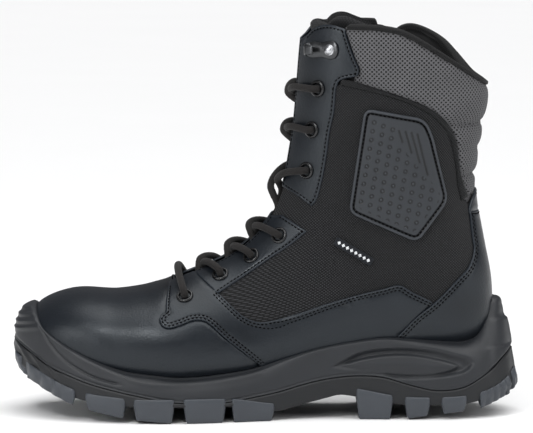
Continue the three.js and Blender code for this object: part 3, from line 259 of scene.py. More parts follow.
def mirror(run):
    """The same run on the other side, in the other direction, for panels that meet at the back."""
    return np.column_stack([run[::-1, 0], 2 * PI - run[::-1, 1]])


def opposite(run):
    """The same for panels that meet over the instep, where the angle is 0."""
    return np.column_stack([run[::-1, 0], -run[::-1, 1]])


def curve_values(rows, step=0.5):
    """A smooth function through rows of [place, value]."""
    fine = spline(rows, step)
    order = np.argsort(fine[:, 0])
    return lambda at: np.interp(at, fine[order, 0], fine[order, 1])


SIDE = {False: "lateral", True: "medial"}


# ---------- meshes ----------
def new_object(name, data):
    thing = bpy.data.objects.new(name, data)
    bpy.context.scene.collection.objects.link(thing)
    return thing


def make(name, points, faces, material, body="boot", slot=None, nodes=(), smooth=True):
    mesh = bpy.data.meshes.new(name)
    mesh.from_pydata((np.asarray(points, float) * MM).tolist(), [], [tuple(map(int, f)) for f in faces])
    mesh.validate()
    mesh.polygons.foreach_set("use_smooth", np.full(len(mesh.polygons), smooth))
    mesh.materials.append(material)
    piece = new_object(name, mesh)
    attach(piece, body)
    if nodes:
        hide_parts(*nodes)
    return piece


def add_values(piece, name, values):
    kind = "FLOAT" if values.ndim == 1 else "FLOAT_VECTOR"
    field = piece.data.attributes.new(name, kind, "POINT")
    field.data.foreach_set("value" if kind == "FLOAT" else "vector", values.astype(np.float32).ravel())


def grid_faces(rows, columns, close_rows=False, close_columns=False):
    faces = []
    for r in range(rows - (0 if close_rows else 1)):
        for c in range(columns - (0 if close_columns else 1)):
            r1, c1 = (r + 1) % rows, (c + 1) % columns
            faces.append((r * columns + c, r * columns + c1, r1 * columns + c1, r1 * columns + c))
    return faces


def edges_of(faces):
    """Every directed edge of the faces, in their order."""
    return dict.fromkeys((i, j) for face in faces for i, j in zip(face, face[1:] + face[:1]))


def match_caps(faces, caps):
    """Caps turned to run against the walls that they close."""
    directed = edges_of(faces)
    return [cap[::-1] if any(edge in directed for edge in edges_of([cap])) else cap for cap in caps]


def orient(points, faces):
    """Faces turned so that the closed body's volume is positive."""
    p = np.asarray(points, float)
    quads = np.array([f if len(f) == 4 else (*f, f[-1]) for f in faces if len(f) in (3, 4)])
    a, b, c, d = (p[quads[:, k]] for k in range(4))
    volume = (np.cross(a, b) * c).sum() + (np.cross(a, c) * d).sum()
    return faces if volume > 0 else [f[::-1] for f in faces]


def merged(parts):
    """Several (points, faces) as one."""
    points, faces = [], []
    for p, f in parts:
        start = sum(len(q) for q in points)
        points.append(np.asarray(p, float))
        faces += [tuple(start + v for v in face) for face in f]
    return np.vstack(points), faces


def tube(rings):
    """A skin over rings of equally many points, closed at both ends."""
    rows, count = len(rings), len(rings[0])
    faces = grid_faces(rows, count, close_columns=True)
    caps = [tuple(range(count)), tuple(range((rows - 1) * count, rows * count))]
    return np.reshape(rings, (-1, 3)), faces + match_caps(faces, caps)


def shell(top, low, faces):
    """A closed body from a sheet's faces: its top, its underside and walls round its border."""
    count = len(top)
    under = [tuple(v + count for v in face[::-1]) for face in faces]
    directed = edges_of(faces)
    walls = [(j, i, i + count, j + count) for i, j in directed if (j, i) not in directed]
    return np.vstack([top, low]), faces + under + walls


def line_distance(points, line, closed=False):
    """Distance from each point to a polyline, and how far along it (in pieces) the nearest place is."""
    ends = np.roll(line, -1, axis=0) if closed else line[1:]
    starts = line if closed else line[:-1]
    best = np.full(len(points), 1e9)
    place = np.zeros(len(points))
    for k in range(0, len(points), 1500):
        p = points[k:k + 1500, None, :]
        d = (ends - starts)[None]
        f = np.clip(((p - starts) * d).sum(-1) / np.maximum(1e-9, (d ** 2).sum(-1)), 0, 1)
        gap = np.linalg.norm(p - starts - d * f[..., None], axis=-1)
        i = gap.argmin(1)
        rows = np.arange(len(i))
        best[k:k + 1500] = gap[rows, i]
        place[k:k + 1500] = i + f[rows, i]
    return best, place


def inside(points, polygon):
    x, y = points[:, 0][:, None], points[:, 1][:, None]
    x0, y0 = polygon[:, 0], polygon[:, 1]
    x1, y1 = np.roll(x0, -1), np.roll(y0, -1)
    crosses = (y0 > y) != (y1 > y)
    at = x0 + (y - y0) * (x1 - x0) / np.where(y1 == y0, 1e-12, y1 - y0)
    return (crosses & (x < at)).sum(1) % 2 == 1


def ease(x, low, high):
    t = np.clip((x - low) / (high - low), 0, 1)
    return t * t * (3 - 2 * t)


def bump_at(d, centre, width):
    return np.exp(-((d - centre) / width) ** 2)


THREAD = 0.38  # radius of the sewing thread
STITCH = 1.75
STITCH_PITCH = 2.5


def thread_capsules(centres, tangents, normals):
    """Short rounded stitches that dip into the leather at both ends. The shares are of STITCH and THREAD."""
    stations = np.array([-1, -0.8, -0.35, 0.35, 0.8, 1]) * STITCH / 2
    radii = np.array([0.02, 0.75, 1, 1, 0.75, 0.02]) * THREAD
    sink = np.array([-0.9, -0.45, 0, 0, -0.45, -0.9]) * THREAD
    ring = np.linspace(0, 2 * PI, 8, endpoint=False)
    points, faces = [], []
    for c, t, n in zip(centres, tangents, normals):
        b = np.cross(n, t)
        start = len(points) * len(ring)
        for x, r, h in zip(stations, radii, sink):
            points.append(c + t * x + n * (h + r * np.sin(ring)[:, None]) + b * r * np.cos(ring)[:, None])
        for face in grid_faces(len(stations), len(ring), close_columns=True):
            faces.append(tuple(start + v for v in face[::-1]))
        faces.append(tuple(start + k for k in range(len(ring))))
        faces.append(tuple(start + (len(stations) - 1) * len(ring) + k for k in range(len(ring)))[::-1])
    return np.vstack(points), faces


TUCK = 4.0  # a panel runs on under its neighbour by this
RINGS = (0.25, 0.6, 1.0, 1.35, 1.7, 2.2, 2.65, 3.05, 3.45, 4.2)  # rows of fine points along a panel's border
BORDER_GAP = 0.25  # border points closer than this are joined
GROOVE_DEPTH, GROOVE_WIDTH = 0.3, 0.42  # the line of stitches is pulled into the leather


def panel(name, nodes, runs, material, slot, height=0.0, thick=1.6, grid=2.2, edge=0.8, relief=None,
          inner=None, sink=1.3, rings=RINGS):
    """A sewn panel on the upper's surface. Each run is (surface path, kind, stitch rows): kind "free"
    is a finished edge, "under" tucks below a neighbour, "hidden" only runs on a little further."""
    raw = np.vstack([path for path, _, _ in runs])
    turn = np.sign(np.sum(raw[:, 0] * np.roll(raw[:, 1], -1) - raw[:, 1] * np.roll(raw[:, 0], -1)))

    def inward(sa):
        tangent = unit(np.gradient(point(sa[:, 0], sa[:, 1]), axis=0))
        return turn * unit(np.cross(tangent, normal(sa[:, 0], sa[:, 1])))

    pieces = [path if kind == "free" else moved(path, -TUCK * inward(path)) for path, kind, _ in runs]
    border = np.vstack(pieces)
    border3 = point(border[:, 0], border[:, 1])
    keep = [0]
    for i in range(1, len(border)):
        if np.linalg.norm(border3[i] - border3[keep[-1]]) > BORDER_GAP:
            keep.append(i)
    if np.linalg.norm(border3[keep[-1]] - border3[0]) < BORDER_GAP:
        keep.pop()
    border, border3 = border[keep], border3[keep]
    tangent = unit(np.roll(border3, -1, axis=0) - np.roll(border3, 1, axis=0))
    into = turn * unit(np.cross(tangent, normal(border[:, 0], border[:, 1])))

    inner_points = []
    for distance in rings:
        ring = moved(border, into * distance)
        gap, _ = line_distance(point(ring[:, 0], ring[:, 1]), border3, closed=True)
        inner_points.append(ring[(gap > 0.9 * distance) & inside(ring, border)])
    rows = []
    s_step = grid / np.median(np.linalg.norm(slopes(border[:, 0], border[:, 1])[0], axis=1))
    for k, s in enumerate(np.arange(border[:, 0].min() + s_step / 2, border[:, 0].max(), s_step)):
        angles = np.linspace(border[:, 1].min(), border[:, 1].max(), 60)
        around = np.linalg.norm(slopes(np.full(60, s), angles)[1], axis=1)
        length = np.concatenate([[0], np.cumsum((around[1:] + around[:-1]) / 2 * np.diff(angles))])
        at = np.arange(grid * (0.25 if k % 2 else 0.75), length[-1], grid)
        rows.append(np.column_stack([np.full(len(at), s), np.interp(at, length, angles)]))
    field = np.vstack(rows)
    field = field[inside(field, border)]
    gap, _ = line_distance(point(field[:, 0], field[:, 1]), border3, closed=True)
    field = field[gap > rings[-1] + 0.5 * grid]

    scale = np.array([np.median(np.linalg.norm(v, axis=1)) for v in slopes(border[:, 0], border[:, 1])])
    every = np.vstack([border] + inner_points + [field]) * scale
    loop = [list(range(len(border)))]
    out = delaunay_2d_cdt([Vector(v) for v in every.tolist()], [], loop, 1, 1e-5)
    sa = np.array([tuple(v) for v in out[0]]) / scale
    faces = [tuple(f)[::-1] for f in out[2]]

    base = point(sa[:, 0], sa[:, 1])
    gap, _ = line_distance(base, border3, closed=True)
    h = np.full(len(sa), float(height))
    for (path, kind, rows_of_stitches), piece in zip(runs, pieces):
        away, _ = line_distance(base, point(piece[:, 0], piece[:, 1]))
        if kind == "free":
            t = np.clip(away / edge, 0, 1)
            h -= edge * (1 - np.sqrt(np.clip(1 - (1 - t) ** 2, 0, 1)))
            for row in rows_of_stitches:
                h -= GROOVE_DEPTH * bump_at(away, row, GROOVE_WIDTH)
    if relief is not None:
        h = h + relief(base, gap, sa)
    # Mask for painted shade: 0 to 1 where the top sinks below the panel's height (stitch grooves, creases,
    # tucked edges), away from the rounded rim; the leather and moulded materials paint these places darker.
    dent_shade = np.clip((height - h - 0.08) / 0.4, 0, 1) * ease(gap, 0.7, 1.2)
    for (path, kind, _), piece in zip(runs, pieces):
        if kind == "under":
            away, _ = line_distance(base, point(piece[:, 0], piece[:, 1]))
            low = 1 - ease(away, TUCK - 0.8, TUCK + 1.0)
            h = h * (1 - low) + np.minimum(h, height - sink) * low
    top = raised(sa[:, 0], sa[:, 1], h)
    low = np.full(len(sa), height - thick)
    if inner is not None:
        low = low + inner(base, gap, sa)
    bottom = raised(sa[:, 0], sa[:, 1], np.minimum(low, h - 0.3))
    piece = make(name, *shell(top, bottom, faces), material, "boot", slot, nodes)
    # rim: 1 on the panel's border, falling off over about a millimetre; the leather colour is lighter there.
    add_values(piece, "rim", np.tile(np.exp(-gap / 1.1), 2))
    add_values(piece, "dent_shade", np.tile(dent_shade, 2))
    add_values(piece, "cloth", np.tile(cloth_coordinates(base), (2, 1)))

    centres, tangents, normals = [], [], []
    for path, kind, rows_of_stitches in runs:
        for row in rows_of_stitches:
            line = moved(path, row * inward(path))
            at = point(line[:, 0], line[:, 1])
            gap, _ = line_distance(at, border3, closed=True)
            line = line[gap > 0.85 * row]
            if len(line) < 4:
                continue
            fine = resample(np.column_stack([line, point(line[:, 0], line[:, 1])])[:, 2:], STITCH_PITCH)
            path3 = point(line[:, 0], line[:, 1])
            _, where = line_distance(fine, path3)
            s = np.interp(where, np.arange(len(line)), line[:, 0])
            a = np.interp(where, np.arange(len(line)), line[:, 1])
            n = normal(s, a)
            t = unit(np.gradient(fine, axis=0))
            centres.append(point(s, a) + n * (height - 0.12))
            tangents.append(unit(t - n * (t * n).sum(1)[:, None]))
            normals.append(n)
    if centres:
        points, faces = thread_capsules(np.vstack(centres), np.vstack(tangents), np.vstack(normals))
        make(f"{name}_stitches", points, faces, MATERIAL["thread"], "boot", slot)
    return piece


LEG_CENTRE = 75  # x of the leg's axis, for unrolling the shaft


def cloth_coordinates(points):
    """Millimetre coordinates along the cloth: round the leg, and up."""
    turn = np.arctan2(points[:, 1], points[:, 0] - LEG_CENTRE)
    return np.column_stack([unrolled(turn), points[:, 2], np.zeros(len(points))])


def unrolled(turn):
    """Length round the leg, at mid height, of a direction seen from its axis."""
    s = np.full(721, 13.5)
    ring = point(s, np.linspace(PI, 3 * PI, 721))
    length = lengths(ring[:, :2])
    angles = np.unwrap(np.arctan2(ring[:, 1], ring[:, 0] - LEG_CENTRE))
    return np.interp(np.mod(turn, 2 * PI), np.linspace(0, 2 * PI, 721),
                     np.interp(np.linspace(0, 2 * PI, 721), angles - angles[0], length))


# ---------- materials ----------
class Shade:
    """A Principled material with small helpers that add nodes."""

    def __init__(self, name, colour, roughness, metallic=0.0, coat=0.0, sheen=0.0, specular=0.5):
        self.material = bpy.data.materials.new(name)
        self.material.use_nodes = True
        self.tree = self.material.node_tree
        self.shader = self.tree.nodes["Principled BSDF"]
        self.colour = colour
        self.set("Base Color", (*colour, 1))
        self.set("Roughness", roughness)
        self.set("Metallic", metallic)
        self.set("Specular IOR Level", specular)
        if coat:
            self.set("Coat Weight", coat)
            self.set("Coat Roughness", 0.25)
        if sheen:
            self.set("Sheen Weight", sheen)
            self.set("Sheen Roughness", 0.5)
        self.place = self.node("ShaderNodeTexCoord").outputs["Object"]
        self.height = None

    def set(self, socket, value):
        self.shader.inputs[socket].default_value = value

    def node(self, kind, **settings):
        node = self.tree.nodes.new(kind)
        for key, value in settings.items():
            setattr(node, key, value)
        return node

    def link(self, source, target):
        self.tree.links.new(source, target)

    def math(self, operation, a, b=0.0, c=0.0):
        node = self.node("ShaderNodeMath", operation=operation)
        for socket, value in zip(node.inputs, (a, b, c)):
            if isinstance(value, (int, float)):
                socket.default_value = value
            else:
                self.link(value, socket)
        return node.outputs[0]

    def field(self, name):
        return self.node("ShaderNodeAttribute", attribute_name=name)

    def noise(self, scale, detail=4.0, rough=0.55, stretch=None):
        node = self.node("ShaderNodeTexNoise")
        node.inputs["Scale"].default_value = scale
        node.inputs["Detail"].default_value = detail
        node.inputs["Roughness"].default_value = rough
        self.link(self.stretched(stretch), node.inputs["Vector"])
        return node.outputs["Fac"]

    def stretched(self, stretch):
        if stretch is None:
            return self.place
        node = self.node("ShaderNodeMapping")
        node.inputs["Scale"].default_value = stretch
        self.link(self.place, node.inputs["Vector"])
        return node.outputs["Vector"]

    def cells(self, scale, feature="SMOOTH_F1"):
        node = self.node("ShaderNodeTexVoronoi", feature=feature)
        node.inputs["Scale"].default_value = scale
        self.link(self.place, node.inputs["Vector"])
        return node.outputs["Distance"]

    def spread(self, source, low, high):
        """Maps 0..1 to low..high."""
        node = self.node("ShaderNodeMapRange")
        node.inputs["To Min"].default_value = low
        node.inputs["To Max"].default_value = high
        self.link(source, node.inputs["Value"])
        return node.outputs["Result"]

    def mix(self, factor, low, high):
        node = self.node("ShaderNodeMix", data_type="RGBA")
        self.link(factor, node.inputs["Factor"])
        for socket, value in ((node.inputs[6], low), (node.inputs[7], high)):
            if isinstance(value, tuple):
                socket.default_value = (*value, 1)
            else:
                self.link(value, socket)
        return node.outputs[2]

    def paint(self, colour):
        self.link(colour, self.shader.inputs["Base Color"])

    def rough(self, value):
        self.link(value, self.shader.inputs["Roughness"])

    def bump(self, height, distance, strength=1.0):
        node = self.node("ShaderNodeBump")
        node.inputs["Distance"].default_value = distance * MM
        node.inputs["Strength"].default_value = strength
        self.link(height, node.inputs["Height"])
        if self.height is not None:
            self.link(self.height, node.inputs["Normal"])
        self.height = node.outputs["Normal"]
        self.link(self.height, self.shader.inputs["Normal"])

    def shades(self, low, high, scale=60):
        """Colour that drifts between two multiples of the base colour."""
        dark = tuple(c * low for c in self.colour)
        light = tuple(c * high for c in self.colour)
        return self.mix(self.noise(scale, 3), dark, light)


def leather_material(name="boot_leather", colour=(0.0058, 0.0074, 0.0102), roughness=0.36):
    m = Shade(name, colour, roughness, coat=0.04, specular=0.36)
    m.set("Specular Tint", (0.88, 0.95, 1.0, 1))
    # Lighter colour along each panel's rim, fading within about a millimetre of the edge.
    lighter_rim = tuple(min(1, c * 2.6) for c in colour)
    surface = m.mix(m.math("MULTIPLY", m.field("rim").outputs["Fac"], 0.4), m.shades(0.8, 1.25), lighter_rim)
    # Painted shade: the colour falls to 0.15 of the base where the panel's top sinks in (grooves, creases).
    m.paint(m.mix(m.field("dent_shade").outputs["Fac"], surface, tuple(c * 0.15 for c in colour)))
    m.rough(m.spread(m.noise(240, 5), roughness - 0.08, roughness + 0.1))
    m.bump(m.cells(950), 0.16, 0.55)
    m.bump(m.noise(3200, 3), 0.05, 0.5)
    m.bump(m.noise(28, 2), 0.5, 0.3)
    return m.material


def woven_material(name, colour, light, pitch, roughness=0.85, depth=0.35, holes=False):
    """Plain weave on the cloth coordinates; the warp threads that lie on top take the light colour.
    With holes the light colour covers the cloth but for dark openings on a diagonal grid."""
    m = Shade(name, colour, roughness, sheen=0.04, specular=0.22)
    split = m.node("ShaderNodeSeparateXYZ")
    m.link(m.field("cloth").outputs["Vector"], split.inputs[0])
    across = m.math("SINE", m.math("MULTIPLY", split.outputs["X"], PI / pitch))
    upward = m.math("SINE", m.math("MULTIPLY", split.outputs["Y"], PI / pitch))
    check = m.math("MULTIPLY", across, upward)
    warp = m.math("GREATER_THAN", check, 0.0)
    round_warp = m.math("ABSOLUTE", across)
    round_weft = m.math("ABSOLUTE", upward)
    both = m.math("ADD", m.math("MULTIPLY", round_warp, warp),
                  m.math("MULTIPLY", m.math("MULTIPLY", round_weft, m.math("SUBTRACT", 1.0, warp)), 0.8))
    fade = m.spread(m.noise(45, 3), 0.75, 1.0)
    if holes:
        solid = m.math("MULTIPLY_ADD", check, 2.2, 1.35)
        on_top = m.math("MULTIPLY", m.math("MINIMUM", m.math("MAXIMUM", solid, 0.0), 1.0), fade)
        both = on_top
    else:
        crown = m.math("POWER", m.math("ABSOLUTE", check), 0.5)
        on_top = m.math("MULTIPLY", m.math("MULTIPLY", warp, crown), fade)
    # Painted shade: where the thread height is low, between the threads, the colour falls to 0.35 of the
    # base; the warp crowns then take the light colour.
    m.paint(m.mix(on_top, m.mix(both, tuple(c * 0.35 for c in colour), colour), light))
    m.rough(m.spread(m.noise(900, 2), roughness - 0.12, roughness + 0.08))
    m.bump(both, depth)
    m.bump(m.noise(4200, 2), 0.06, 0.6)
    return m.material


def moulded_material(name, colour, roughness, grain=2200, depth=0.05, coat=0.0):
    m = Shade(name, colour, roughness, coat=coat, specular=0.36)
    # Painted shade: the colour falls to 0.2 of the base where the panel's top sinks in (grooves, the rings
    # round the dots).
    m.paint(m.mix(m.field("dent_shade").outputs["Fac"], m.shades(0.82, 1.2, 40), tuple(c * 0.2 for c in colour)))
    m.rough(m.spread(m.noise(130, 4), roughness - 0.07, roughness + 0.09))
    m.bump(m.noise(grain, 3), depth, 0.7)
    m.bump(m.noise(55, 2), 0.25, 0.3)
    return m.material


def cord_material():
    m = Shade("lace_cord", (0.0088, 0.0078, 0.0076), 0.85, sheen=0.06, specular=0.25)
    m.paint(m.shades(0.65, 1.6, 700))
    m.rough(m.spread(m.noise(1500, 3), 0.75, 0.95))
    m.bump(m.noise(2600, 3, stretch=(1, 1, 0.4)), 0.12, 0.8)
    return m.material


def metal_material(name, colour, roughness, metallic, coat=0.0):
    m = Shade(name, colour, roughness, metallic, coat=coat)
    m.paint(m.shades(0.85, 1.1, 200))
    m.rough(m.spread(m.noise(500, 5), max(0.05, roughness - 0.08), roughness + 0.1))
    m.bump(m.noise(900, 3), 0.006, 0.4)
    return m.material


def thread_material():
    m = Shade("sewing_thread", (0.0012, 0.0012, 0.0014), 0.9, specular=0.06)
    m.paint(m.shades(0.7, 1.5, 900))
    m.rough(m.spread(m.noise(2500, 2), 0.8, 0.95))
    m.bump(m.noise(5000, 2), 0.05, 0.8)
    return m.material


def fleece_material(name, colour, grain=1400):
    m = Shade(name, colour, 0.95, sheen=0.3, specular=0.2)
    m.paint(m.shades(0.7, 1.3, 300))
    m.rough(m.spread(m.noise(900, 2), 0.88, 1.0))
    m.bump(m.cells(grain), 0.2, 0.7)
    return m.material


MATERIAL = {
    "leather": leather_material(),
    "nylon": woven_material("ballistic_nylon", (0.0052, 0.0054, 0.006), (0.034, 0.035, 0.038), 0.85),
    "mesh": woven_material("collar_mesh", (0.004, 0.004, 0.0045), (0.1, 0.1, 0.105), 1.32, depth=0.45,
                           holes=True),
    "roll": woven_material("roll_fabric", (0.008, 0.0085, 0.0092), (0.022, 0.023, 0.025), 0.8),
    "tongue": woven_material("tongue_fabric", (0.007, 0.0073, 0.008), (0.024, 0.025, 0.027), 1.1),
    "binding": woven_material("binding_tape", (0.0075, 0.0076, 0.008), (0.018, 0.0185, 0.0195), 0.6),
    "lining": fleece_material("lining_knit", (0.012, 0.012, 0.0125)),
    "footbed": fleece_material("footbed_fabric", (0.022, 0.0225, 0.024)),
    "patch": moulded_material("moulded_patch", (0.0265, 0.0305, 0.0365), 0.5, 1800, 0.04),
    "midsole": moulded_material("midsole_foam", (0.0155, 0.0172, 0.0202), 0.5, 1500, 0.06),
    "outsole": moulded_material("outsole_rubber", (0.0082, 0.0092, 0.0108), 0.52, 1700, 0.06),
    "lug": moulded_material("lug_rubber", (0.042, 0.0475, 0.056), 0.44, 1300, 0.1),
    "lace": cord_material(),
    "thread": thread_material(),
    "gunmetal": metal_material("black_enamel", (0.012, 0.0125, 0.0135), 0.22, 0.75, coat=0.5),
    "hook": metal_material("hook_enamel", (0.045, 0.047, 0.05), 0.3, 0.85, coat=0.3),
    "bright": metal_material("bright_nickel", (0.5, 0.51, 0.53), 0.32, 1.0),
    "steel": metal_material("bare_steel", (0.4, 0.41, 0.42), 0.35, 1.0),
    "board": fleece_material("fibre_board", (0.2, 0.16, 0.11), 700),
    "strip": moulded_material("edge_plastic", (0.02, 0.02, 0.021), 0.5),
    "zip": moulded_material("zip_plastic", (0.009, 0.0092, 0.01), 0.4),
    "label": woven_material("label_tape", (0.012, 0.0145, 0.019), (0.022, 0.026, 0.033), 0.5),
    "print": fleece_material("label_print", (0.62, 0.64, 0.66), 2500),
}


# ---------- side-view lines, [x, z] ----------
MUD_FRONT = [[-54.5, 81.5], [-59.6, 78.5], [-60.3, 72], [-60.4, 66.2]]
MUD_SWOOSH = [[-60.4, 66.2], [-63.9, 63.4], [-63, 59.4], [-59, 57.3], [-51.4, 59], [-43.7, 61.6],
              [-37.4, 61.3], [-33.7, 59.1], [-24.3, 50.5], [-13.6, 41.6], [-4.5, 33.7]]
MUD_TOP = [[99, 71.8], [87.8, 77.3], [80, 81.6], [70, 79.4], [54.7, 75.7], [34, 69.7], [18.5, 64.4],
           [2.9, 60.4], [-4.8, 59.9], [-13.4, 63.2], [-21.2, 69.9], [-29, 77.1]]
COUNTER_FRONT = [[79.1, 49.8], [89.5, 61.2], [100.5, 70.1], [108.4, 77.8], [114.5, 84.1], [121.8, 91.6],
                 [125.3, 101.2], [124.3, 109.8], [122.7, 124.8]]
LOWER_BASE = [[-29.2, 76.7], [-14.2, 86], [2.8, 97.4], [14.9, 105.5], [24.3, 113.5]]
UPPER_BACK = [[26.7, 128.6], [29.4, 131.6], [33, 143.8], [35.8, 159.3], [37.8, 174.7], [40.1, 185.3],
              [41.2, 199.5]]
UPPER_NOTCH = [[41.2, 199.5], [43.2, 204.4], [54.2, 207.8]]
UPPER_RISE = [[54.6, 208.6], [55.1, 211.8], [52.3, 218.4], [48, 230.2], [46.4, 235.6]]
UPPER_TOP = [[46.4, 235.6], [40, 237.6], [34, 237.8], [28.2, 235.6], [24.4, 231.5]]
ROLL_TOP = [[44.5, 206], [55.5, 203.5], [83, 194.7], [98.5, 187.7], [109, 178.5], [114, 168.5], [117, 149.5],
            [122, 133.5]]
ROLL_BASE = [[118, 132], [116, 140], [113.8, 156], [109.5, 172], [101.5, 181.9], [86.4, 191], [67.2, 197.2],
             [43.7, 202.5]]
RIM = [[47, 237.6], [69.4, 236.6], [81.6, 233.6], [106, 219.5], [130.4, 203.4], [150, 192]]
# behind the zip the inner side of the collar stands higher
RIM_REAR = [[79, 222], [80.5, 229], [84, 232.5], [88.9, 233.8], [96.6, 232], [107.7, 226], [115.4, 218.3],
            [124.9, 207.6], [133, 202], [150, 192]]
PATCH = [[58.5, 188.6], [94.3, 182.2], [99, 173], [108.8, 132.5], [90.4, 107.8], [49.3, 125.6]]
SOLE_RIM = [[-141, 67.5], [-138.7, 61], [-134.4, 53.8], [-123.4, 46.4], [-110.6, 39.9], [-98, 34.7],
            [-84, 30.6], [-68, 28.6], [-52.6, 27], [-39.8, 27.3], [-24.3, 28.8], [-8.7, 31.2],
            [14.5, 38.4], [30.3, 42.9], [51, 46.9], [70.6, 49.4], [86.4, 48.6], [102.3, 47],
            [117.9, 46], [124.3, 47.5], [129.7, 51], [133.5, 56.5], [135.2, 63], [136.9, 70.5], [139.4, 72.5]]
ZIP_TOP, ZIP_BASE = (79, 226), (66, 88)
SLOT_HALF = 11
SLOT_END = 84


def zip_x(z, side=0.0):
    lean = (ZIP_TOP[0] - ZIP_BASE[0]) / (ZIP_TOP[1] - ZIP_BASE[1])
    return ZIP_BASE[0] + lean * (z - ZIP_BASE[1]) + side * SLOT_HALF


def back_station(z):
    return float(np.interp(z, TABLE[8 * FINE:, 3], TABLE_S[8 * FINE:]))


# ---------- leather, nylon and collar ----------
def wrinkles(amount):
    """Soft hand-lasted unevenness of the leather."""
    def relief(base, gap, _):
        x, y, z = base.T
        wave = np.sin(x / 13 + 1.7 * np.sin(z / 17)) * np.sin(z / 11 + y / 19)
        return amount * (wave + 0.6 * np.sin((x + 2 * z) / 23)) * ease(gap, 1, 8)
    return relief


def vamp_relief(base, gap, sa):
    x, y, z = base.T
    crease = bump_at(x - 0.12 * np.abs(y), -62, 5) + 0.7 * bump_at(x - 0.16 * np.abs(y), -76, 6)
    cap_edge = ease(-x, 92, 100) * 0.25
    return wrinkles(0.18)(base, gap, sa) - 0.3 * crease * ease(z, 50, 70) + cap_edge


def add_vamp():
    front = straight_run(MUD_FRONT[1:])
    swoosh = side_run(MUD_SWOOSH)
    rim = on_side([p for p in spline(SOLE_RIM) if -140.6 < p[0] < -4.5])
    start = side_run([MUD_FRONT[0], MUD_FRONT[1]])
    lateral = np.vstack([start, front, swoosh])
    toe = np.array([[rim[0, 0] - 0.02, 0.0]])
    medial = opposite(lateral)
    around = np.vstack([rim[::-1], toe, opposite(rim[::-1])])
    top_station = float(np.interp(-57, TABLE[:, 0], TABLE_S))
    across = across_run(medial[-1], lateral[0], top_station)
    runs = [(lateral, "under", ()), (around, "hidden", ()), (medial, "under", ()),
            (across[1:-1], "free", (1.6,))]
    panel("vamp_leather", ["vamp"], runs, MATERIAL["leather"], "leather", grid=2.4, relief=vamp_relief)


def add_mudguard(medial):
    front = np.vstack([facing_run(81.6, 81.2, medial)[-1:], straight_run(MUD_FRONT[1:], medial)])
    runs = [
        (front, "free", (1.6,)),
        (side_run(MUD_SWOOSH, medial), "free", (1.4, 3.1)),
        (on_side([p for p in spline(SOLE_RIM) if -4.5 < p[0] < 79], medial), "hidden", ()),
        (side_run([[79.1, 49.8], [89.5, 61.2], [99, 70.6]], medial), "under", ()),
        (side_run(MUD_TOP, medial), "free", (1.4, 3.1)),
        (straight_run([[-29.2, 77], [-42.4, 86.6]], medial), "under", ()),
        (facing_run(87.2, 81.9, medial), "free", ()),
    ]
    panel(f"mudguard_{SIDE[medial]}_leather", [f"mudguard_{SIDE[medial]}"], runs, MATERIAL["leather"],
          "leather", 0.55, relief=wrinkles(0.15))


def add_lower_eyestay(medial):
    runs = [
        (straight_run([[-42.4, 86.6], [-29.4, 76.8]], medial), "free", ()),
        (side_run(LOWER_BASE, medial), "free", (1.7,)),
        (straight_run([[24.3, 113.5], [9.3, 122.3]], medial), "free", (1.7,)),
        (facing_run(121.8, 87.4, medial), "free", (1.7,)),
    ]
    panel(f"lower_eyestay_{SIDE[medial]}_leather", [f"lower_eyestay_{SIDE[medial]}"], runs,
          MATERIAL["leather"], "leather", 0.35, grid=1.8, relief=wrinkles(0.1))


UPPER_LINES = ([[11.5, 138.2], [18.7, 134.2], [26.4, 128.8]], UPPER_BACK, UPPER_NOTCH, UPPER_RISE, UPPER_TOP)


def add_upper_eyestay(medial):
    runs = [(side_run(line, medial), "free", (1.7,)) for line in UPPER_LINES]
    runs.append((facing_run(228.5, 139, medial), "free", (1.7,)))

    def relief(base, gap, sa):
        swell = 0.0
        for x, z in EYELETS:
            away = np.hypot(base[:, 0] - x, base[:, 2] - z)
            swell = swell - 0.35 * np.exp(-(away / 7.5) ** 2)
        return wrinkles(0.12)(base, gap, sa) + swell * ease(gap, 0, 3)

    panel(f"upper_eyestay_{SIDE[medial]}_leather", [f"upper_eyestay_{SIDE[medial]}"], runs,
          MATERIAL["leather"], "leather", 0.3, grid=1.9, relief=relief)


def add_counter():
    front = side_run(COUNTER_FRONT)
    top = across_run(front[-1], mirror(front)[0], back_station(127))
    rim = on_side([p for p in spline(SOLE_RIM) if 79.5 < p[0] < 136.5])
    medial_rim = np.column_stack([rim[:, 0], 2 * PI - rim[:, 1]])
    runs = [(front, "free", (1.4, 3.1)), (top[1:-1], "free", (1.6,)), (mirror(front), "free", (1.4, 3.1)),
            (np.vstack([medial_rim, heel_join(medial_rim[-1], rim[-1]), rim[::-1]]), "hidden", ())]
    panel("heel_counter_leather", ["heel_counter"], runs, MATERIAL["leather"], "leather", 0.75,
          relief=wrinkles(0.15))
    lateral = side_run([[122.4, 125], [122.9, 129], [126, 134.2], [130.6, 138]])
    tip = across_run(lateral[-1], mirror(lateral)[0], back_station(140))
    base = across_run(mirror(lateral)[-1], lateral[0], back_station(126.4))
    runs = [(lateral, "free", ()), (tip[1:-1], "free", (1.5,)), (mirror(lateral), "free", ()),
            (base[1:-1], "under", ())]
    panel("heel_tab_leather", ["heel_tab"], runs, MATERIAL["leather"], "leather", 0.7, grid=1.6)


def heel_join(a, b):
    """Surface points between the two ends, round the heel."""
    f = np.linspace(0, 1, 26)[1:-1, None]
    return a + (b - a) * f


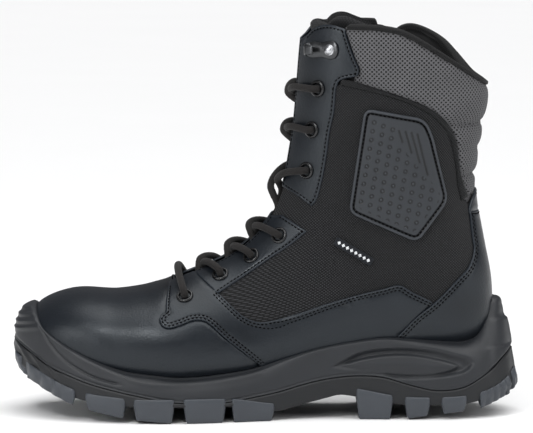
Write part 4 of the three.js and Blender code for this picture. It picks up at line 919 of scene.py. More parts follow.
def add_quarters():
    roll = spline(ROLL_BASE[::-1])
    lower = [
        ([[119, 134], [128.5, 122]], straight_run),
        ([[128.5, 122], [130.5, 101], [127, 88], [119, 78], [104, 64]], side_run),
        ([[104, 64], [85, 62], [20, 56], [-8, 54], [-24, 62]], side_run),
        ([[-24, 62], [-33, 77]], straight_run),
        ([[-33, 77], [-15, 90], [-2, 101], [8, 112]], side_run),
    ]
    for medial, side in SIDE.items():
        if medial:
            high = roll[roll[:, 0] < zip_x(196, -1)]
            low = roll[roll[:, 0] > zip_x(190, 1)]
            ends = ((192, -1), (SLOT_END, -1), (SLOT_END, 1), (188, 1))
            slot = [[zip_x(z, edge), z] for z, edge in ends]
            top = [(on_side(high, True), "free", ()), (straight_run(slot, True), "free", (1.5,)),
                   (on_side(low, True), "free", ())]
        else:
            top = [(on_side(roll), "free", ())]
        rest = [run(points, medial) for points, run in lower]
        rest += [facing_run(121, 141, medial), side_run([[31, 150], [35, 175], [39, 201]], medial)]
        runs = top + [(run, "free", ()) for run in rest]
        panel(f"quarter_{side}_nylon", [f"quarter_{side}"], runs, MATERIAL["nylon"], "ballistic_nylon", -1.0,
              thick=1.4, grid=2.4, edge=0.4, relief=quarter_relief, rings=(0.5, 1.2, 2.0, 3.0))


def quarter_relief(base, gap, _):
    x, _, z = base.T
    sag = 0.5 * np.sin((x + 0.6 * z) / 15) * np.sin(z / 21 + 0.8) + 0.25 * np.sin((x - z) / 8)
    return sag * ease(gap, 2, 12)


def roll_relief(half, rise):
    def relief(_, gap, __):
        return rise * np.sin(PI / 2 * np.clip(gap / half, 0, 1)) - 0.5
    return relief


def add_rolls():
    def closed(top, base, medial):
        return [(on_side(top, medial), "free", ()), (on_side(base, medial), "free", ())]

    top, base = spline(ROLL_TOP), spline(ROLL_BASE)
    spans = [("lateral", False, -1e9, 1e9), ("medial_front", True, -1e9, zip_x(198, -1)),
             ("medial_rear", True, zip_x(194, 1), 1e9)]
    for name, medial, low, high in spans:
        def cut(line):
            return line[(line[:, 0] > low) & (line[:, 0] < high)]
        piece = panel(f"quarter_roll_{name}_fabric", [f"quarter_roll_{name}"],
                      closed(cut(top), cut(base), medial), MATERIAL["roll"], "roll_fabric", 0.1, thick=1.7,
                      grid=1.6, edge=0.4, relief=roll_relief(3.2, 1.7), rings=(0.3, 0.7, 1.2, 1.8, 2.5))


# the padded collar down the back: [height, fullness]; two sewn channels and a fold part its rolls
BACK_ROLLS = [[110, 0.2], [138, 0.2], [144.5, -0.4], [146.6, -2.2], [148.5, -0.5], [152, 0.9], [156, 1.1],
              [160, 0.8], [162.4, 0.0], [165, 1.0], [169, 1.9], [173, 1.7], [175.8, 0.7], [177.6, -1.3],
              [179.6, 0.5], [183, 1.8], [189, 2.5], [195, 2.3], [200.5, 1.2], [230, 1.0]]
BACK_FULLNESS = curve_values(BACK_ROLLS, 0.4)


def collar_relief(base, gap, _):
    x, y, z = base.T
    pad = 2.5 * (1 - np.exp(-gap / 2.6)) + 0.7 * (1 - np.exp(-gap / 12))
    around = unrolled(np.arctan2(y, x - LEG_CENTRE))
    pucker = 0.14 * np.sin(around / 1.9) * np.exp(-gap / 3)
    sewn = 0.22 * np.sin(around / 1.3) * (bump_at(z, 177.6, 3.5) + bump_at(z, 146.6, 3.5))
    at_back = ease(x, 104, 112)
    full = (1.2 + BACK_FULLNESS(z) + sewn) * (1 - 0.75 * np.exp(-gap / 1.4))
    return (pad + pucker) * (1 - at_back) + full * at_back


def collar_runs(medial, front_edge, rear_edge, low, high, rim=RIM):
    top_line = spline(rim)
    top_line = np.column_stack([top_line[:, 0], top_line[:, 1] - 0.6])
    roll = spline(ROLL_TOP[1:])
    cut_top = on_side(top_line[(top_line[:, 0] > low) & (top_line[:, 0] < high)], medial)
    cut_roll = on_side(roll[(roll[:, 0] > low) & (roll[:, 0] < high)], medial)
    return [(front_edge, "under" if low < 0 else "free", ()), (cut_roll, "under", ()), *rear_edge,
            (cut_top[::-1], "free", ())]


def add_collar():
    def tab_and_seam(medial):
        tab = side_run([[122, 133.5], [126, 136.5], [130.4, 139.4]], medial)
        s = np.linspace(back_station(141), back_station(200.5), 46)
        seam = np.column_stack([s, np.full_like(s, PI)])
        return [(tab, "under", ()), (seam, "free", ())]

    def front(medial):
        return side_run([[47.4, 234.6], [48.6, 230.2], [52.8, 218.4], [55.8, 211.4], [55.6, 204.5]], medial)

    def slot_edge(side, low, high):
        return straight_run([[zip_x(high, side), high], [zip_x(low, side), low]], True)

    by_zip = [(slot_edge(-1, 201, 234)[::-1], "free", (1.5,))]
    sets = [
        ("collar_lateral", collar_runs(False, front(False), tab_and_seam(False), -1e9, 1e9)),
        ("collar_medial_front", collar_runs(True, front(True), by_zip, -1e9, zip_x(215, -1))),
        ("collar_medial_rear", collar_runs(True, slot_edge(1, 191, 222), tab_and_seam(True), zip_x(215, 1),
                                           1e9, RIM_REAR)),
    ]
    for name, runs in sets:
        piece = panel(f"{name}_pad", [name], runs, MATERIAL["mesh"], "collar_mesh", -1.2, thick=2.0, grid=2.0,
                      edge=0.6, relief=collar_relief, sink=1.0)


# four raised bars, each from (x, z) to (x, z), that fan out over the patch's back corner
FAN = ((78.9, 175.3, 81.0, 168.6), (82.8, 174.7, 86.4, 162.2), (86.4, 174.1, 91.3, 156.0),
       (89.8, 173.2, 96.0, 148.6))
DOT_START = (64.3, 180.2)
DOT_STEPS = ((5.5, -2.1), (-0.85, -5.3))  # along a row of dots and down to the next row


def patch_relief(base, gap, _):
    x, _, z = base.T
    h = -1.0 * bump_at(gap, 2.3, 0.5) - 0.2 * ease(gap, 2.2, 3.4)
    along, down = DOT_STEPS
    dx, dz = x - DOT_START[0], z - DOT_START[1]
    det = along[0] * down[1] - along[1] * down[0]
    u = (dx * down[1] - dz * down[0]) / det
    v = (along[0] * dz - along[1] * dx) / det
    fu, fv = u - np.round(u), v - np.round(v)
    away = np.hypot(fu * along[0] + fv * down[0], fu * along[1] + fv * down[1])
    below_fan = (z < 168.8 - 1.448 * (x - 81.2)) | (x < 77)
    plan = np.column_stack([x, z])
    fan = [line_distance(plan, np.array([[x0, z0], [x1, z1]]))[0] for x0, z0, x1, z1 in FAN]
    clear = (gap > 5.2) & below_fan & (v > -0.5) & (np.min(fan, axis=0) > 2.6)
    dots = (0.3 * bump_at(away, 0, 0.55) - 0.55 * bump_at(away, 1.0, 0.36)) * clear
    for away in fan:
        h = h - 0.6 * bump_at(away, 0, 0.5)
    return h + dots


def add_patch():
    outline = rounded(PATCH, 5.5, 0.7)
    runs = [(on_side(outline), "free", (2.3,))]
    rings = (0.2, 0.5, 0.9, 1.4, 1.8, 2.1, 2.4, 2.7, 3.1, 3.6)
    panel("ankle_patch_moulded", ["ankle_patch"], runs, MATERIAL["patch"], "moulded_patch", 1.3, thick=2.6,
          grid=0.5, edge=0.7, relief=patch_relief, rings=rings)


# ---------- tongue, lining, footbed ----------
TONGUE_TOP = 8.15  # depth of the tongue's face below the leather, as in the CAD
LINING_TOP = 3.7
LINING_EDGE = PI - 0.8  # the lining ends at this angle, under the footbed's edge


def tongue_relief(base, gap, _):
    _, y, z = base.T
    ribs = 0.35 * np.cos(y / 14 * PI) * ease(z, 90, 130)
    crown = 0.9 * (1 - np.exp(-gap / 3.5))
    roll = 1.6 * bump_at(gap, 3.2, 2.6) * ease(z, 222, 232)
    folds = 0.3 * np.sin(z / 4.5 + 0.5 * np.sin(y / 6)) * ease(z, 100, 125) * (1 - ease(z, 205, 215))
    return crown + ribs + roll + folds - 1.6


def add_tongue():
    rear = side_run([[-45, 63], [-24, 66], [0, 78], [22, 94], [42, 116], [46, 150], [50, 180], [60, 205],
                     [72, 226]])
    top = side_run([[72, 226], [67, 231.5], [60, 236.5], [50, 240.5], [42, 243], [35, 242.5], [29.5, 238.5]])
    crown = across_run(np.array([top[-1, 0], top[-1, 1]]), np.array([top[-1, 0], -top[-1, 1]]),
                       float(np.interp(239.5, TABLE[:, 1], TABLE_S)))
    lateral = np.vstack([rear, top])
    medial = opposite(lateral)
    front = across_run(medial[-1], lateral[0], float(np.interp(-62, TABLE[:, 0], TABLE_S)))
    runs = [(lateral, "free", ()), (crown[1:-1], "free", ()), (medial, "free", ()), (front[1:-1], "free", ())]
    piece = panel("tongue_padded", ["tongue"], runs, MATERIAL["tongue"], "ballistic_nylon", -TONGUE_TOP + 0.5,
                  thick=4.4, grid=2.3, edge=1.6, relief=tongue_relief, rings=(0.5, 1.2, 2.0, 3.0, 4.2),
                  inner=lambda base, gap, sa: 1.4 * np.exp(-gap / 2))


def add_lining():
    throat = side_run([[-24, 76], [-5, 87], [14, 101], [30, 118], [33, 150], [36, 175], [40, 200],
                       [43.5, 222], [45, 233.5]])
    bottom = np.array([[s, LINING_EDGE] for s in np.linspace(6.1, 9.9, 40)])
    front = np.column_stack([np.full(20, 6.1), np.linspace(LINING_EDGE, throat[0, 1] + 0.05, 20)])

    def half(rim):
        return np.vstack([bottom[::-1], front, throat, on_side(spline([[45, 234.5]] + rim) - [0, 2.0])])

    inner_rim = [[69.4, 236.2], [77, 233.5], [84, 232.8]] + RIM_REAR[3:]
    runs = [(half(RIM[1:]), "free", ()), (mirror(half(inner_rim)), "free", ())]

    def quilt(base, gap, _):
        return 0.35 * np.abs(np.sin(base[:, 2] / 9)) - 0.8 * np.exp(-gap / 2)

    panel("lining_shaft", ["lining_lateral", "lining_medial", "lining_heel"], runs, MATERIAL["lining"],
          "lining_fabric", -LINING_TOP, thick=3.0, grid=3.4, inner=quilt, rings=(0.6, 1.4, 2.6))
    s = np.linspace(0.9, 5.9, 60)
    lower = np.column_stack([s, np.full_like(s, LINING_EDGE)])
    rear = np.column_stack([np.full(30, 5.9), np.linspace(LINING_EDGE, 0.9, 30)])
    toe = np.column_stack([np.linspace(5.9, 4.9, 12), np.full(12, 0.9)])
    side = np.vstack([lower, rear, toe])
    across = np.column_stack([np.full(30, 4.9), np.linspace(0.88, -0.88, 30)])
    nose = np.column_stack([np.full(60, 0.9), np.linspace(-PI + 0.82, PI - 0.82, 60)])
    runs = [(side, "free", ()), (across, "free", ()), (opposite(side), "free", ()), (nose, "free", ())]
    panel("lining_toe", ["lining_vamp"], runs, MATERIAL["lining"], "lining_fabric", -LINING_TOP, thick=3.0,
          grid=3.6, rings=(0.8, 2.0))


def add_footbed():
    s = np.linspace(0.95, 9.55, 150)
    ends = np.minimum(np.minimum((s - 0.9) / 1.1, (9.6 - s) / 0.9), 1)
    half = 0.66 * np.sqrt(np.clip(1 - (1 - ends) ** 2, 0.02, 1))
    lateral = np.column_stack([s, PI - half])
    medial = np.column_stack([s[::-1], PI + half[::-1]])
    runs = [(lateral, "free", ()), (medial, "free", ())]

    def dish(base, gap, _):
        x, y, _ = base.T
        return -0.9 * np.exp(-gap / 2.5) + 0.12 * np.sin(x / 2.2) * np.sin(y / 2.2)

    piece = panel("footbed_covered", ["footbed"], runs, MATERIAL["footbed"], "footbed_foam", -2.8, thick=4.6,
                  grid=3.0, edge=0.6, inner=dish, rings=(0.6, 1.6, 3.0))


BINDING_SHIFT = -2.95  # from the leather to the middle of the collar's thickness


def add_binding():
    rim = spline(RIM, 1.0)
    low = np.column_stack([rim[:, 0], rim[:, 1] - 2.4])
    lateral = on_side(low)
    back = heel_join(lateral[-1], np.array([lateral[-1, 0], 2 * PI - lateral[-1, 1]]))
    medial = on_side(low, True)
    front = medial[point(medial[:, 0], medial[:, 1])[:, 0] < zip_x(234, -1)]
    rear = on_side(spline(RIM_REAR, 1.0) - [0, 2.4], True)
    turns = np.linspace(0, PI, 15)
    sides = [(4.5 * math.cos(t), 2.1 + 1.4 * math.sin(t)) for t in turns]
    profile = [(4.35, 0.9)] + sides + [(-4.3, -1.3), (-3.6, -1.7), (0, -1.5), (3.4, 0.4)]

    def soft(v):
        rows = [np.convolve(np.pad(v[:, k], 4, "edge"), np.ones(9) / 9, "valid") for k in range(3)]
        return np.column_stack(rows)

    for name, path in (("collar_binding", np.vstack([lateral, back, rear[::-1]])),
                       ("collar_binding_medial_front", front)):
        at = point(path[:, 0], path[:, 1])
        n = unit(soft(normal(path[:, 0], path[:, 1])))
        t = unit(np.gradient(soft(at), axis=0))
        up = unit(np.cross(n, t))
        up = up * np.sign(up[:, 2:3])
        length = lengths(at)
        rings = []
        for k in range(len(path)):
            swell = 1 + 0.03 * math.sin(length[k] / 3.1)
            taper = min(1, 0.35 + min(length[k], length[-1] - length[k]) / 2.2)
            rings.append([at[k] + n[k] * (BINDING_SHIFT + off * swell * taper)
                          + up[k] * (rise * taper - (1 - taper)) for off, rise in profile])
        points, faces = tube(rings)
        piece = make(f"{name}_tape", points, orient(points, faces), MATERIAL["binding"], "boot", "binding",
                     [name])
        count = len(profile)
        across = np.tile(np.arange(count) * 1.1, len(path))
        add_values(piece, "cloth", np.column_stack([np.repeat(length, count), across, across * 0]))


# ---------- sole ----------
PARTING = [[-156, 46], [-148, 42], [-141.7, 38.5], [-130.7, 32], [-120.3, 28], [-106.3, 23.2], [-92.3, 19.8],
           [-75, 16.2], [-55.4, 12.8], [-24.3, 12.2], [-8.7, 14.5], [6.9, 17.4], [22.4, 21.7], [38, 25],
           [54.7, 26.5], [70.6, 25.5], [86.4, 21], [102.3, 17.7], [117.9, 19.2], [129.7, 24.7], [140, 30.5],
           [148, 36], [156, 41]]
WEB = [[-156, 34], [-140, 25], [-115, 14], [-90, 10.5], [-75, 9.5], [-20, 9], [5, 5.5], [11, 6.4], [22, 9.5],
       [36, 13], [44, 14.8], [55, 13.5], [80, 9], [103, 8.5], [125, 10], [140, 15], [156, 24]]
TREAD = [[-156, 29], [-146, 23.5], [-130, 15.5], [-115.5, 9.5], [-108, 7.6], [-85, 2.8], [-70, 1.2], [-49, 0],
         [80, 0], [92, 1.4], [106, 3.2], [120, 4.8], [128, 6], [140, 10.5], [156, 18.5]]
OUTER_EDGE = [[-154.5, -8], [-152, 8], [-143, 24], [-128, 38], [-105, 48.5], [-80, 54], [-56, 55],
              [-30, 51.2], [0, 43.5], [30, 38.5], [60, 37], [90, 38], [115, 37.5], [135, 31],
              [148, 19], [154.5, 0]]
INNER_EDGE = [[-154.5, 8], [-152.5, 18], [-144, 30], [-128, 40.5], [-105, 48], [-80, 52.5], [-56, 51.2],
              [-30, 45], [0, 37], [30, 33], [60, 33.5], [90, 36.5], [115, 36.5], [135, 30.5], [148, 19],
              [154.5, 0]]
LUG_ROWS = [[-153, -115.5], [-108, -85], [-79, -55.7], [-49, -25], [-20.3, 4], [54.7, 75.5], [84, 98],
            [106, 120], [128, 153]]
SOLE_STEPS = 210
LIP = 2.2


PARTING_AT, WEB_AT, TREAD_LINE = curve_values(PARTING), curve_values(WEB), curve_values(TREAD)


def tread_at(x):
    return np.maximum(0.0, TREAD_LINE(x))


# height, and how far the back of the sole stands forwards there
HEEL_LEAN = ((10, 18.9, 28, 35.3, 40.8, 49.9, 60.8, 66, 69.9, 73),
             (-1, -1, 2.3, 4.3, 5.3, 5.9, 5.9, 4, 1.4, 0))


def leaned(points):
    """The back of the sole leans forwards with height."""
    out = points.copy()
    out[:, 0] -= np.interp(points[:, 2], *HEEL_LEAN) * ease(points[:, 0], 112, 148)
    return out


def even_shares(count=SOLE_STEPS):
    turn = PI * np.arange(count + 1) / count
    return 0.5 - 0.5 * np.cos(turn) * (1 - 0.12 * np.sin(turn))


def along_line(points, shares):
    length = lengths(points)
    length = length / length[-1]
    return np.column_stack([np.interp(shares, length, points[:, k]) for k in range(points.shape[1])])


def sole_ring(spread, height):
    """Plan outline as one closed ring: outer side toe to heel, then inner side back to the toe."""
    rows = []
    for edge, side in ((OUTER_EDGE, -1), (INNER_EDGE, 1)):
        p = along_line(spline(edge, 0.6), even_shares())
        t = unit(np.gradient(p, axis=0))
        x = p[:, 0] - t[:, 1] * spread
        y = p[:, 1] + t[:, 0] * spread
        y[0], y[-1] = p[0, 1], p[-1, 1]
        rows.append(np.column_stack([x, side * y, height(x)]))
    return np.vstack([rows[0], rows[1][1:-1][::-1]])


def rim_ring(height):
    """The lip's ring on the leather, at a height over it."""
    rows = []
    fine = spline(SOLE_RIM, 0.6)
    for medial in (False, True):
        sa = on_side(fine, medial)
        sign = -1 if medial else 1
        angle = np.where(sa[:, 1] > PI, 2 * PI - sa[:, 1], sa[:, 1]) * sign
        sa = np.column_stack([sa[:, 0], angle])
        toe = np.array([[sa[0, 0] - 0.015, 0.0]])
        heel = np.array([[sa[-1, 0] + 0.02, PI * sign]])
        start = toe + (sa[0] - toe) * np.linspace(0, 1, 8)[:-1, None]
        end = sa[-1] + (heel - sa[-1]) * np.linspace(0, 1, 14)[1:, None]
        sa = np.vstack([start, sa, end])
        rows.append(along_line(raised(sa[:, 0], sa[:, 1], np.full(len(sa), height)), even_shares()))
    middle = (rows[0][-1] + rows[1][-1]) / 2
    rows[0][-1] = rows[1][-1] = middle
    return np.vstack([rows[0], rows[1][1:-1][::-1]])


# relief lines on the midsole wall, seen from the side
CURVED_GROOVE = [[-135.9, 54.6], [-130.8, 46.5], [-123.5, 38.7], [-113.7, 32.1], [-103, 27.3], [-89.3, 23.8]]
RAISED_LINE = [[-128.9, 50.6], [-113.7, 39.1], [-92.4, 30.4], [-71.6, 24.2], [-47.8, 23.6], [-24.3, 25.3],
               [-5.1, 28.8]]
RECESS = [[38.9, 32], [54.7, 40.5], [70.6, 43.6], [86.4, 44], [102.3, 42.4], [113.9, 39.3], [122.4, 36.8],
          [125.5, 33.5], [121.8, 29], [109.9, 26], [94.1, 24.6], [78.3, 24.6], [62.7, 28]]
LENS = [[44, 33], [60, 37.2], [80, 39.4], [98, 37.8], [116, 32.4], [104, 27.6], [84, 26.4], [64, 28.6]]
TOE_RIBS = ((-152.5, 51.5), (-150, 56), (-147, 60.5), (-143.6, 64.5))
KICK_STEPS = ((147.5, 58), (150.5, 42))


def depth_within(flat, line):
    """Distance to a closed smooth line, positive inside it."""
    outline = spline(line + line[:1], 1)
    away, _ = line_distance(flat, outline, closed=True)
    return np.where(inside(flat, outline), away, -away)


def sole_relief(points):
    flat = points[:, [0, 2]]
    x, z = flat.T
    groove, _ = line_distance(flat, spline(CURVED_GROOVE, 1))
    h = -1.3 * bump_at(groove, 0, 0.9)
    ridge, _ = line_distance(flat, spline(RAISED_LINE, 1))
    h += 0.5 * bump_at(ridge, 0, 1.6)
    h -= 3.4 * ease(depth_within(flat, RECESS), -0.4, 2.6)
    within = depth_within(flat, LENS)
    h += 2.7 * ease(within, -0.9, 1.2) + 0.9 * ease(within, 0, 7)
    front = ease(-x, 132, 140)
    for rib_x, rib_z in TOE_RIBS:
        h += front * 0.9 * bump_at(z - rib_z - 0.25 * (x - rib_x), 0, 1.1)
    for step_x, step_z in KICK_STEPS:
        h += 1.1 * ease(x, step_x - 18, step_x - 8) * ease(-z, -step_z - 0.8, -step_z + 0.8)
    h -= 0.7 * bump_at(z, PARTING_AT(x) + 1.2, 0.8)
    return h


def out_from(points, count):
    """Outward directions of a stack of closed rings."""
    grid = points.reshape(-1, count, 3)
    around = np.roll(grid, -1, axis=1) - np.roll(grid, 1, axis=1)
    up = np.gradient(grid, axis=0)
    n = unit(np.cross(around, up)).reshape(-1, 3)
    centre = points.mean(0)
    side = np.sign(np.sum(n * (points - centre), axis=1).sum())
    return n * side


def add_midsole():
    base, rim = sole_ring(0, lambda x: PARTING_AT(x) + 0.3), rim_ring(LIP)
    count = len(base)
    shares = np.concatenate([np.linspace(0, 0.9, 34), 0.9 + 0.1 * np.sin(np.linspace(0, PI / 2, 14))[1:]])
    layers = []
    for share in shares:
        draw = 1 - math.sqrt(max(0, 1 - share ** 2))
        layers.append(base + (rim - base) * np.array([draw, draw, share]))
    wall = np.vstack(layers)
    wall = leaned(wall + out_from(wall, count) * (sole_relief(wall) * fade_rows(len(layers), count))[:, None])
    lip_top, lip_in = rim_ring(1.0), rim_ring(-0.4)
    lip_top[:, 2] += 0.35
    deep = lip_in - [0, 0, 7]
    foot = sole_ring(-12, lambda x: PARTING_AT(x) + 0.3)
    points = np.vstack([wall, lip_top, lip_in, deep, foot])
    rows = len(points) // count
    faces = grid_faces(rows, count, close_rows=True, close_columns=True)
    make("midsole_moulded", points, orient(points, faces), MATERIAL["midsole"], "boot", "midsole_foam",
         ["midsole"])


def fade_rows(rows, count):
    """No relief at the wall's foot and at its lip."""
    fade = ease(np.arange(rows), 0, 3) * (1 - ease(np.arange(rows), rows - 6, rows - 1))
    return np.repeat(fade, count)


def rib_offset(x, pitch, depth):
    """Sawtooth ribs, rounded."""
    return depth * (0.5 - 0.5 * np.cos(2 * PI * x / pitch)) ** 2


def add_outsole():
    def toe_ribs(points, low):
        x, z = points[:, 0], points[:, 2]
        return 0.9 * ease(-x, 118, 126) * (rib_offset(x + 0.7 * z, 6.2, 1.0) - 0.5) * low

    def between(f):
        return lambda x: WEB_AT(x) + 0.5 + (PARTING_AT(x) - WEB_AT(x) - 2.6) * f

    rings = [sole_ring(-1.8, WEB_AT), sole_ring(-1, between(0))]
    for f in np.linspace(0.1, 1, 9):
        rings.append(sole_ring(-1 + 1.6 * math.sin(PI / 2 * f), between(f)))
    rings += [sole_ring(0.7, lambda x: PARTING_AT(x) - 1.2), sole_ring(0.2, lambda x: PARTING_AT(x) - 0.2)]
    count = len(rings[0])
    inner = [sole_ring(-3, lambda x: PARTING_AT(x) - 0.2), sole_ring(-3.6, lambda x: PARTING_AT(x) - 2.4)]
    stack = rings + inner
    points = np.vstack(stack)
    low = np.repeat([1.0] * len(rings) + [0.0] * len(inner), count)
    points = leaned(points + out_from(points, count) * toe_ribs(points, low)[:, None])
    faces = grid_faces(len(stack), count, close_columns=True)
    half = count // 2
    caps = []
    for row in (0, len(stack) - 1):
        start = row * count
        for k in range(half):
            a, b = start + k, start + k + 1
            c, d = start + (count - k - 1) % count, start + (count - k) % count
            quad = [a, b, c, d] if row == 0 else [d, c, b, a]
            quad = [v for i, v in enumerate(quad) if v not in quad[:i]]
            if len(quad) > 2:
                caps.append(tuple(quad))
    caps = match_caps(faces, caps)
    make("outsole_plate", points, orient(points, faces + caps), MATERIAL["outsole"], "boot", "outsole_rubber",
         ["outsole"])
    add_lugs()


CHANNEL = 17  # two channels run along the sole at this distance from its middle
CHANNEL_HALF = 2.6


def clip(polygon, axis, limit, keep_below):
    """Cuts a plan polygon with an axis-aligned line."""
    out = []
    side = 1 if keep_below else -1
    for a, b in zip(polygon, np.roll(polygon, -1, axis=0)):
        da, db = side * (limit - a[axis]), side * (limit - b[axis])
        if da >= 0:
            out.append(a)
        if da * db < 0:
            out.append(a + (b - a) * da / (da - db))
    return np.array(out)


def shrink(polygon, distance):
    """The outline moved inwards, with its corners kept."""
    forward = unit(np.roll(polygon, -1, axis=0) - polygon)
    back = unit(polygon - np.roll(polygon, 1, axis=0))
    t = unit(forward + back)
    area = np.sum(polygon[:, 0] * np.roll(polygon[:, 1], -1) - polygon[:, 1] * np.roll(polygon[:, 0], -1))
    n = np.column_stack([-t[:, 1], t[:, 0]]) * np.sign(area)
    corner = np.maximum(0.6, np.abs((forward * t).sum(1)))
    return polygon + n * (distance / corner)[:, None]


def lug_block(polygon, ribbed):
    """One lug: drafted walls, a rounded tread edge, and a tread face that follows the tread line."""
    p = resample(np.vstack([polygon, polygon[:1]]), 1.0)[:-1]
    wrapped = np.vstack([p[-2:], p, p[:2]])
    p = np.column_stack([np.convolve(wrapped[:, k], [0.1, 0.2, 0.4, 0.2, 0.1], "valid") for k in range(2)])
    # share of the height from the tread to the web, inset, and rise above the web into the sole
    levels = [(1, 0.1, 5.4), (1, -0.45, 5.2), (1, -0.75, 4.6), (1, -0.75, 2.5), (1, -0.6, 0), (0.8, -0.25, 0),
              (0.55, 0.1, 0), (0.3, 0.5, 0), (0.1, 0.9, 0), (0.045, 1.1, 0), (0, 1.7, 0)]
    rings = []
    for share, inset, above in levels:
        outline = shrink(p, inset)
        if ribbed:
            edge = np.abs(np.abs(outline[:, 0]) - 118) * (np.abs(outline[:, 0]) > 118)
            wave = rib_offset(outline[:, 0] + 0.35 * outline[:, 1], 5.4, 1.6) * ease(edge, 3, 8)
            outline = outline_in(outline, wave * (1 - 0.3 * share))
        low, high = tread_at(outline[:, 0]), WEB_AT(outline[:, 0])
        rings.append(leaned(np.column_stack([outline, low + (high - low) * share + above])))
    count = len(p)
    points = np.vstack(rings)
    faces = grid_faces(len(rings), count, close_columns=True)
    flat = rings[-1][:, :2]
    xs = np.arange(flat[:, 0].min() + 2, flat[:, 0].max(), 3.2)
    ys = np.arange(flat[:, 1].min() + 2, flat[:, 1].max(), 3.2)
    field = np.array([(x, y) for x in xs for y in ys])
    if len(field):
        field = field[inside(field, flat)]
    if len(field):
        away, _ = line_distance(field, flat, closed=True)
        field = field[away > 1.2]
    every = np.vstack([flat, field]) if len(field) else flat
    out = delaunay_2d_cdt([Vector(v) for v in every.tolist()], [], [list(range(count))], 1, 1e-5)
    verts = np.array([tuple(v) for v in out[0]])
    cap = np.column_stack([verts, tread_at(verts[:, 0])])
    index, extra = {}, []
    for k, origin in enumerate(out[3]):
        on_ring = [o for o in origin if o < count]
        if on_ring:
            index[k] = (len(rings) - 1) * count + on_ring[0]
        else:
            index[k] = len(points) + len(extra)
            extra.append(cap[k])
    if extra:
        points = np.vstack([points, extra])
    bottom = [tuple(index[v] for v in f) for f in out[2]]
    directed = edges_of(faces)
    if any(edge in directed for edge in edges_of(bottom)):
        bottom = [f[::-1] for f in bottom]
    faces = faces + bottom + match_caps(faces, [tuple(range(count))])
    return points, orient(points, faces)


def outline_in(outline, amounts):
    """The outline moved inwards by an amount at each point."""
    forward = np.roll(outline, -1, axis=0) - np.roll(outline, 1, axis=0)
    area = np.sum(outline[:, 0] * np.roll(outline[:, 1], -1) - outline[:, 1] * np.roll(outline[:, 0], -1))
    n = unit(np.column_stack([-forward[:, 1], forward[:, 0]])) * np.sign(area)
    return outline + n * amounts[:, None]


def add_lugs():
    plan = sole_ring(0.3, np.zeros_like)[:, :2]
    blocks = []
    for front, back in LUG_ROWS:
        strip = clip(clip(plan, 0, back, True), 0, front, False)
        for low, high in ((-90, -CHANNEL - CHANNEL_HALF), (-CHANNEL + CHANNEL_HALF, CHANNEL - CHANNEL_HALF),
                          (CHANNEL + CHANNEL_HALF, 90)):
            block = clip(clip(strip, 1, high, True), 1, low, False)
            if len(block) < 3 or np.ptp(block[:, 0]) < 4 or np.ptp(block[:, 1]) < 4:
                continue
            blocks.append(lug_block(block, front < -120 or back > 140))
    make("outsole_lugs", *merged(blocks), MATERIAL["lug"], "boot", "outsole_rubber")


# ---------- lacing ----------
EYELETS = [[-49, 74.8], [-27.8, 86.8], [-9.2, 97.8], [7.7, 110.2], [24, 150], [27.2, 174.6], [30.7, 199.5]]
EYELET_SEAT, EYELET_FLANGE, EYELET_BORE, EYELET_OUTSIDE = 0.45, 0.9, 6.8, 10.3
LEATHER = 1.6
LACE_RADIUS = 2.2
LACE_UNDER = -(LEATHER + EYELET_FLANGE + LACE_RADIUS + 0.15)
LACE_OVER = EYELET_SEAT + EYELET_FLANGE + LACE_RADIUS + 0.7
BAR_RISE = 0.3
BAR_REACH = 16.5
END_TUCK = (1.5, 0.8, 0.35)
# One strand from the outside of an eyelet to the inside of the next one opposite:
# [distance from the centre line on the starting side, height over the leather].
PASS_BELOW = ((HALF_GAP + 6, LACE_OVER), (HALF_GAP + 1, LACE_RADIUS + 1.1),
              (0.7 * HALF_GAP, LACE_RADIUS - 0.7), (0.43 * HALF_GAP, -LACE_RADIUS),
              (0.14 * HALF_GAP, LACE_UNDER), (-HALF_GAP, LACE_UNDER))
PASS_ABOVE = ((HALF_GAP + 6, LACE_OVER), (HALF_GAP - 1, LACE_RADIUS + 1.2),
              (0.36 * HALF_GAP, LACE_RADIUS + 0.6), (0, LACE_RADIUS - 0.1),
              (-0.29 * HALF_GAP, 1.8 - LACE_RADIUS), (-0.64 * HALF_GAP, LACE_UNDER + 0.85),
              (-HALF_GAP, LACE_UNDER))
SPOTS = [on_side(EYELETS), on_side(EYELETS, True)]


def front_point(s, y, height):
    s, y = np.array([float(s)]), np.array([float(y)])
    return raised(s, front_angle(s, y), np.array([float(height)]))[0]


def lace_points():
    def at(side, i, height):
        s, a = SPOTS[side][i]
        return raised(np.array([s]), np.array([a]), np.array([float(height)]))[0]

    def crossing(side, i):
        start, end = SPOTS[side][i], SPOTS[1 - side][i - 1]
        y0, y1 = at(side, i, 0)[1], at(1 - side, i - 1, 0)[1]
        heights = (PASS_BELOW if side == 0 else PASS_ABOVE) + ((-(HALF_GAP + abs(y1)) / 2, LACE_UNDER + 0.1),)
        out = []
        for across, height in heights:
            y = math.copysign(across, y0) if across >= 0 else -math.copysign(-across, y0)
            share = (y - y0) / (y1 - y0)
            out.append(front_point(start[0] + (end[0] - start[0]) * share, y, height))
        return out

    def through(side, i):
        return [at(side, i, h) for h in (LACE_UNDER + 0.4, -0.6, LACE_OVER - 0.3)]

    last = len(EYELETS) - 1

    def strand(first):
        y = at(first, last, 0)[1] * 0.92
        out = [front_point(SPOTS[first][last][0] + ds, y, LACE_UNDER) for ds in END_TUCK]
        side = first
        for i in range(last, 0, -1):
            out += through(side, i) + crossing(side, i)
            side = 1 - side
        return out + through(side, 0)

    bar = [front_point(SPOTS[0][0][0], side * BAR_REACH, LACE_OVER + BAR_RISE) for side in (-1, 0, 1)]
    return strand(0) + bar + strand(1)[::-1]


